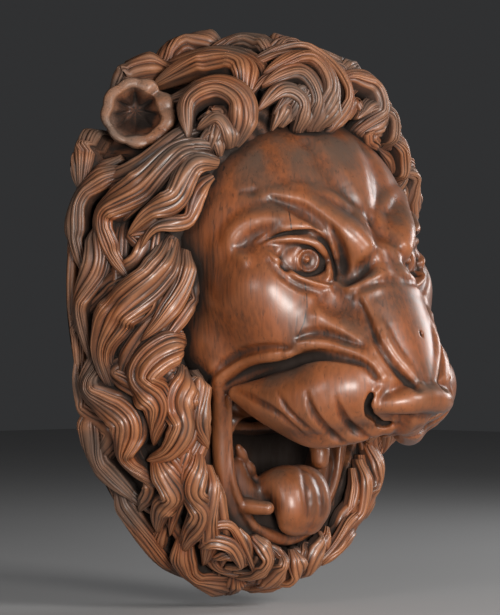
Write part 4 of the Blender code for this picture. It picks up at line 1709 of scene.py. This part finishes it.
@dataclass(frozen=True)
class Patina:
    """What years of wax, smoke and dusting do, and painted light: cuts darkened by stain and painted shade,
    crests lightened by rubbing and a painted highlight, and a grey bloom on top.

    The numbers say how much of each mark goes into the warm colour, the lighter colour of rubbed and lit
    crests, the bloom, the stain and painted shade, and the roughness.
    """

    streak_warms: float = 0.5
    blotch_warms: float = 0.6
    crest_lightens: float = 0.75
    bloom_where_cold: float = 0.95
    bloom_lost_where_warm: float = -0.7
    dust_blooms: float = 0.8
    bloom_anywhere: float = 0.16
    pore_stains: float = 0.4
    blotch_roughens: float = 0.12
    streak_roughens: float = 0.08
    dust_dulls: float = 0.8

    def group(self) -> bpy.types.NodeTree:
        """Builds the group, which turns wood colours and the carving's marks into one finish, painted shade
        and painted highlights included.

        Returns:
            The group. It gives Colour, Roughness and Gloss, the weight of the wax over the wood.
        """
        colours = tuple((name, "Color") for name in ("Body", "Warm", "Deep", "Worn_And_Lit", "Bloom"))
        marks = ("Streak", "Blotch", "Pore", "Line", "Recess_Stain_And_Shade", "Wear_And_Highlight", "Dust", "Smooth", "Dull", "Wax")
        given = (("Colour", "Color"), ("Roughness", "Float"), ("Gloss", "Float"))
        graph = node_group("old_wax_and_painted_light", colours + tuple((name, "Float") for name in marks), given)
        takes, gives = graph.tree.nodes["takes"].outputs, graph.tree.nodes["gives"]
        warmth = graph.math("MULTIPLY", takes["Blotch"], self.blotch_warms)
        warmth = graph.math("MULTIPLY_ADD", takes["Streak"], self.streak_warms, warmth)
        colour = graph.mix(warmth, takes["Body"], takes["Warm"])
        # Crests take the lighter colour: wear and a painted highlight.
        colour = graph.mix(graph.math("MULTIPLY", takes["Wear_And_Highlight"], self.crest_lightens), colour, takes["Worn_And_Lit"])
        cold = graph.math("MULTIPLY_ADD", takes["Blotch"], self.bloom_lost_where_warm, self.bloom_where_cold)
        bloom = graph.math("MULTIPLY_ADD", takes["Dust"], self.dust_blooms, self.bloom_anywhere)
        bloom = graph.math("MULTIPLY", bloom, cold)
        colour = graph.mix(bloom, colour, takes["Bloom"])
        # Hollows, cuts, the glued joint and pores darken towards the deep colour: stain, with painted shade
        # in hollows and cuts.
        stain_and_painted_shade = graph.math("ADD", takes["Recess_Stain_And_Shade"], takes["Line"])
        stain_and_painted_shade = graph.math("MULTIPLY_ADD", takes["Pore"], self.pore_stains, stain_and_painted_shade, clamp=True)
        graph.put(gives.inputs["Colour"], graph.mix(stain_and_painted_shade, colour, takes["Deep"]))
        span = graph.math("SUBTRACT", takes["Dull"], takes["Smooth"])
        dulled = graph.math("MAXIMUM", takes["Recess_Stain_And_Shade"], bloom)
        rough = graph.math("MULTIPLY_ADD", dulled, span, takes["Smooth"])
        uneven = graph.math("MULTIPLY", takes["Streak"], self.streak_roughens)
        uneven = graph.math("MULTIPLY_ADD", takes["Blotch"], self.blotch_roughens, uneven)
        graph.put(gives.inputs["Roughness"], graph.math("ADD", uneven, rough))
        dusty = graph.math("MULTIPLY", takes["Dust"], self.dust_dulls)
        left = graph.math("SUBTRACT", 1.0, graph.math("MAXIMUM", takes["Recess_Stain_And_Shade"], dusty))
        graph.put(gives.inputs["Gloss"], graph.math("MULTIPLY", takes["Wax"], left))
        return graph.tree


@dataclass(frozen=True)
class WaxedWood:
    """A finish of waxed, stained wood, with painted shade in its recesses and painted highlights on its
    crests.

    smooth and dull are the roughness of polished and of dusty wood, wax is the weight of the polish, and
    relief is how strongly the figure shows in the surface. Hairy wood has gouge lines for its figure.
    """

    name: str
    body: Colour
    warm: Colour
    deep: Colour
    worn_and_lit: Colour
    bloom: Colour
    smooth: float = 0.30
    dull: float = 0.75
    wax: float = 0.60
    relief: float = 0.25
    hairy: bool = False
    wax_roughness: float = 0.28
    shine: float = 0.4
    relief_depth: float = 0.0008

    def material(self, grain: bpy.types.NodeTree, hair: bpy.types.NodeTree, patina: bpy.types.NodeTree,
                 line: bpy.types.NodeTree) -> bpy.types.Material:
        """Builds the material.

        Args:
            grain: The group of the wood's figure.
            hair: The group of the gouge's fine lines, used in place of the figure where the finish is hairy.
            patina: The group of the wax and stain, with the painted shade and highlights.
            line: The group of the glued joint, left out where the finish is hairy.

        Returns:
            The material.
        """
        made = bpy.data.materials.new(self.name)
        made.use_nodes = True
        graph = Graph(made.node_tree)
        wood = graph.node("Group", node_tree=hair if self.hairy else grain)
        wax = graph.node("Group", node_tree=patina)
        for label in ("Body", "Warm", "Deep", "Worn_And_Lit", "Bloom"):
            wax.inputs[label].default_value = (*getattr(self, label.lower()), 1.0)
        for label in ("Smooth", "Dull", "Wax"):
            wax.inputs[label].default_value = getattr(self, label.lower())
        for label in ("Streak", "Blotch", "Pore"):
            graph.put(wax.inputs[label], wood.outputs[label])
        # Each mesh's stain and painted shade, its wear and painted highlight, and its dust.
        for label in ("Recess_Stain_And_Shade", "Wear_And_Highlight", "Dust"):
            mark = graph.node("Attribute", attribute_name=label.lower())
            graph.put(wax.inputs[label], mark.outputs["Fac"])
        if not self.hairy:
            joint = graph.node("Group", node_tree=line)
            graph.put(wax.inputs["Line"], joint.outputs["Line"])
        shader = made.node_tree.nodes["Principled BSDF"]
        graph.put(shader.inputs["Base Color"], wax.outputs["Colour"])
        graph.put(shader.inputs["Roughness"], wax.outputs["Roughness"])
        graph.put(shader.inputs["Coat Weight"], wax.outputs["Gloss"])
        shader.inputs["Coat Roughness"].default_value = self.wax_roughness
        shader.inputs["Specular IOR Level"].default_value = self.shine
        bump = graph.node("Bump")
        bump.inputs["Strength"].default_value = self.relief
        bump.inputs["Distance"].default_value = self.relief_depth
        graph.put(bump.inputs["Height"], wood.outputs["Relief"])
        graph.put(shader.inputs["Normal"], bump.outputs["Normal"])
        return made


# The deep colour serves stain and painted shade, the worn colour wear and painted highlights.
FACE_WOOD = WaxedWood(
    "waxed_face_wood",
    body=(0.040, 0.013, 0.005),
    warm=(0.215, 0.053, 0.010),
    deep=(0.014, 0.007, 0.004),
    worn_and_lit=(0.300, 0.100, 0.034),
    bloom=(0.085, 0.050, 0.033),
    smooth=0.32,
    relief=0.45,
)
MANE_WOOD = WaxedWood(
    "waxed_mane_wood",
    body=(0.055, 0.021, 0.010),
    warm=(0.260, 0.070, 0.017),
    deep=(0.014, 0.007, 0.004),
    worn_and_lit=(0.380, 0.150, 0.060),
    bloom=(0.110, 0.080, 0.062),
    relief=0.7,
    hairy=True,
)


@dataclass
class Dresser:
    """Turns skins into pieces of the mask: stained and painted with shade by how deep each place lies,
    rubbed and given a painted highlight where it stands out or on an edge.

    Each range gives the values that count as none and as all: of how closed in a place is, of how far it
    looks up, of its height, and of its distance from the wall.
    """

    hollows: Hollows
    felt_above: float = 1.5
    rubbed_and_lit: Range = (0.42, 0.24)
    closed_near: Range = (0.50, 0.74)
    closed_wide: Range = (0.46, 0.74)
    near_share: float = 0.55
    wide_share: float = 0.75
    edge_keeps: float = 0.4
    cut_share: float = 0.85
    looks_up: Range = (0.2, 0.9)
    high_up: Range = (70.0, 170.0)
    high_share: float = 0.5
    at_wall: Range = (65.0, 25.0)
    wall_share: float = 0.7
    dust_lost: float = 0.6

    def marks(self, skin: Skin, ways: np.ndarray) -> dict[str, np.ndarray]:
        """Works out a skin's stain and painted shade in hollows, its wear and painted highlight on crests
        and edges, and its dust.

        Args:
            skin: The skin.
            ways: The way out at each of its places.

        Returns:
            A value from 0 to 1 for each place for its stain and painted shade, for its wear and painted
            highlight, and for its dust, and the millimetres from the glued joint under "joint" where the
            skin has them.
        """
        near, wide = self.hollows.at(skin.places + self.felt_above * ways)
        # The more closed in a place is, the darker it is painted: stain and painted shade.
        recess_stain_and_shade = self.near_share * smooth_step(*self.closed_near, near)
        recess_stain_and_shade = recess_stain_and_shade + self.wide_share * smooth_step(*self.closed_wide, wide)
        cut, edge = np.maximum(skin.groove, 0), np.maximum(-skin.groove, 0)
        recess_stain_and_shade = np.clip(recess_stain_and_shade * (1 - self.edge_keeps * edge) + self.cut_share * cut, 0, 1)
        # Open, rounded places and sharp edges are painted lighter: wear and a painted highlight.
        wear_and_highlight = np.maximum(smooth_step(*self.rubbed_and_lit, near) * (1 - cut), edge)
        settled = smooth_step(*self.looks_up, ways[:, 2])
        settled += self.high_share * smooth_step(*self.high_up, skin.places[:, 2])
        settled += self.wall_share * smooth_step(*self.at_wall, skin.places[:, 1])
        dust = np.minimum(settled, 1) * (1 - self.dust_lost * recess_stain_and_shade)
        marks = {"recess_stain_and_shade": recess_stain_and_shade, "wear_and_highlight": wear_and_highlight, "dust": dust}
        return marks if skin.joint is None else marks | {"joint": skin.joint}

    def mesh(self, name: str, skin: Skin, part: np.ndarray | None) -> bpy.types.Mesh:
        """Makes a mesh of a skin, or of a part of it.

        Args:
            name: The mesh's name.
            skin: The skin, in millimetres.
            part: Which faces of the skin it takes, or nothing for all.

        Returns:
            The mesh in metres, with the skin's marks and its lay as attributes, shaded as the whole skin is.
        """
        ways = skin.normals()
        quads = skin.quads if part is None else skin.quads[part]
        used, numbers = np.unique(quads, return_inverse=True)
        quads = numbers.reshape(-1, 4)[:, ::-1]
        mesh = bpy.data.meshes.new(name)
        mesh.vertices.add(len(used))
        mesh.vertices.foreach_set("co", (skin.places[used] * (MM, -MM, MM)).astype(np.float32).ravel())
        mesh.loops.add(quads.size)
        mesh.loops.foreach_set("vertex_index", quads.astype(np.int32).ravel())
        mesh.polygons.add(len(quads))
        mesh.polygons.foreach_set("loop_start", np.arange(0, quads.size, 4, dtype=np.int32))
        mesh.update(calc_edges=True)
        for label, values in self.marks(skin, ways).items():
            mark = mesh.attributes.new(label, "FLOAT", "POINT")
            mark.data.foreach_set("value", values[used].astype(np.float32))
        lay = mesh.attributes.new("lay", "FLOAT_VECTOR", "POINT")
        lay.data.foreach_set("vector", skin.lay[used].astype(np.float32).ravel())
        mesh.polygons.foreach_set("use_smooth", np.ones(len(quads), bool))
        mesh.normals_split_custom_set_from_vertices((ways[used] * (1, -1, 1)).tolist())
        return mesh

    def piece(self, name: str, skin: Skin, finish: bpy.types.Material,
              part: np.ndarray | None = None) -> None:
        """Makes a piece that stands for the carved solid.

        Args:
            name: The piece's name.
            skin: The skin that it is made from.
            finish: Its material.
            part: Which faces of the skin it takes, or nothing for all.
        """
        mesh = self.mesh(name, skin, part)
        mesh.materials.append(finish)
        made = bpy.data.objects.new(name, mesh)
        bpy.context.scene.collection.objects.link(made)
        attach(made, "root")
        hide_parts(NODE)
        LOG.info("%s: %d faces", name, len(mesh.polygons))


@dataclass(frozen=True)
class Lamp:
    """A soft square light that looks at the mask. Its place and size are metres in the frame."""

    name: str
    place: Place
    watts: float
    size: float
    colour: Colour = (1.0, 1.0, 1.0)
    looks_at: Place = (0.0, -0.1, 0.0)

    def hang(self) -> None:
        """Hangs the light."""
        data = bpy.data.lights.new(self.name, "AREA")
        data.energy, data.size, data.color = self.watts, self.size, self.colour
        made = bpy.data.objects.new(self.name, data)
        made.location = self.place
        way = Vector(self.place) - Vector(self.looks_at)
        made.rotation_euler = way.to_track_quat("Z", "Y").to_euler()
        bpy.context.scene.collection.objects.link(made)


@dataclass
class Studio:
    """A pale floor, soft lights and the camera at the photograph's three-quarter view.

    Lengths are metres. The camera is level and turned round the mask by degrees, and it takes in as many
    pixels of height as the photograph has, at the photograph's scale.
    """

    turn: float = -45.0
    distance: float = 3.6
    aim_across: float = 0.0339
    aim_up: float = 0.0022
    aim_out: float = 0.09
    picture_pixels: float = 615.0
    pixels_per_metre: float = 1120.0
    sensor: float = 36.0
    floor_up: float = -0.268
    floor_size: float = 8.0
    floor_colours: tuple[Colour, Colour] = ((0.42, 0.42, 0.425), (0.46, 0.46, 0.465))
    floor_clouds: Noise = Noise(1.5, EVENLY, 3)
    floor_roughness: float = 0.9
    grey: Colour = (0.25, 0.255, 0.265)
    brightness: float = 0.12
    lamps: tuple[Lamp, ...] = (
        Lamp("front", (0.15, -2.2, 0.75), watts=28, size=0.7, colour=(1.0, 0.98, 0.95)),
        Lamp("key", (-1.3, -2.3, 0.05), watts=56, size=0.6, colour=(1.0, 0.97, 0.93)),
        Lamp("left", (-2.3, -1.0, 0.45), watts=10, size=0.6),
        Lamp("rim", (1.9, -0.35, 0.5), watts=14, size=0.7),
    )

    def camera(self) -> None:
        """Sets up the camera, level with the mask's middle."""
        turn = math.radians(self.turn)
        right = Vector((math.cos(turn), math.sin(turn), 0.0))
        back = Vector((math.sin(turn), -math.cos(turn), 0.0))
        data = bpy.data.cameras.new("camera")
        data.sensor_width = data.sensor_height = self.sensor
        data.lens = self.sensor * self.distance / (self.picture_pixels / self.pixels_per_metre)
        made = bpy.data.objects.new("camera", data)
        aim = right * self.aim_across + back * self.aim_out + Vector((0.0, 0.0, self.aim_up))
        made.location = aim + back * self.distance
        made.rotation_euler = back.to_track_quat("Z", "Y").to_euler()
        bpy.context.scene.collection.objects.link(made)
        bpy.context.scene.camera = made

    def floor_material(self) -> bpy.types.Material:
        """Builds the floor's material.

        Returns:
            A pale, dull, slightly cloudy paint.
        """
        pale = bpy.data.materials.new("pale_floor")
        pale.use_nodes = True
        graph = Graph(pale.node_tree)
        place = graph.node("TexCoord").outputs["Object"]
        clouds = graph.noise(place, self.floor_clouds)
        shader = pale.node_tree.nodes["Principled BSDF"]
        colour = graph.mix(clouds, *((*shade, 1.0) for shade in self.floor_colours))
        graph.put(shader.inputs["Base Color"], colour)
        shader.inputs["Roughness"].default_value = self.floor_roughness
        return pale

    def floor(self) -> None:
        """Lays the pale floor."""
        half = self.floor_size / 2
        mesh = bpy.data.meshes.new("floor")
        corners = [(x * half, y * half, self.floor_up) for x, y in ((-1, -1), (1, -1), (1, 1), (-1, 1))]
        mesh.from_pydata(corners, [], [(0, 1, 2, 3)])
        mesh.materials.append(self.floor_material())
        made = bpy.data.objects.new("floor", mesh)
        bpy.context.scene.collection.objects.link(made)

    def build(self) -> None:
        """Sets up the floor, the lights, the air and the camera."""
        self.floor()
        for lamp in self.lamps:
            lamp.hang()
        world = bpy.data.worlds.new("air")
        world.use_nodes = True
        air = world.node_tree.nodes["Background"]
        air.inputs["Color"].default_value = (*self.grey, 1.0)
        air.inputs["Strength"].default_value = self.brightness
        bpy.context.scene.world = world
        bpy.context.scene.view_settings.view_transform = "Standard"
        self.camera()


@dataclass
class LionMask:
    """The whole carved mask. The head is one skin, which is parted by height into pieces of a fair size."""

    head: Head = field(default_factory=Head)
    mane: Mane = field(default_factory=Mane)
    brow_above: float = 6.0
    jaw_below: float = -62.0
    chin_below: float = -128.0

    def build(self) -> None:
        """Carves every piece and dresses it."""
        head = self.head.build()
        LOG.info("head carved: %d places", len(head.places))
        hair = {
            "mane_ground": self.mane.ground(),
            "crown_tufts": self.mane.crown(),
            "right_mane": self.mane.locks(Side.RIGHT),
            "left_mane": self.mane.locks(Side.LEFT),
            "ears": Skin.joined([Ear(side).skin() for side in Side]),
        }
        hollows = Hollows()
        hollows.fill([head, *hair.values()])
        dresser = Dresser(hollows)
        groups = Grain().group(), GougeLines().group(), Patina().group(), GlueLine().group()
        face_wood, mane_wood = FACE_WOOD.material(*groups), MANE_WOOD.material(*groups)
        height = head.places[head.quads[:, 0], 2]
        cuts = (math.inf, self.brow_above, self.jaw_below, self.chin_below, -math.inf)
        for name, top, bottom in zip(("brow_and_eyes", "muzzle", "mouth", "jaw"), cuts, cuts[1:]):
            dresser.piece(name, head, face_wood, (height < top) & (height >= bottom))
        for name, skin in hair.items():
            dresser.piece(name, skin, mane_wood)


def main() -> None:
    """Builds the mask and its studio, and notes the sizes."""
    logging.basicConfig(level=logging.INFO, format="%(name)s: %(message)s")
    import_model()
    LionMask().build()
    Studio().build()


if __name__ == "__main__":
    main()
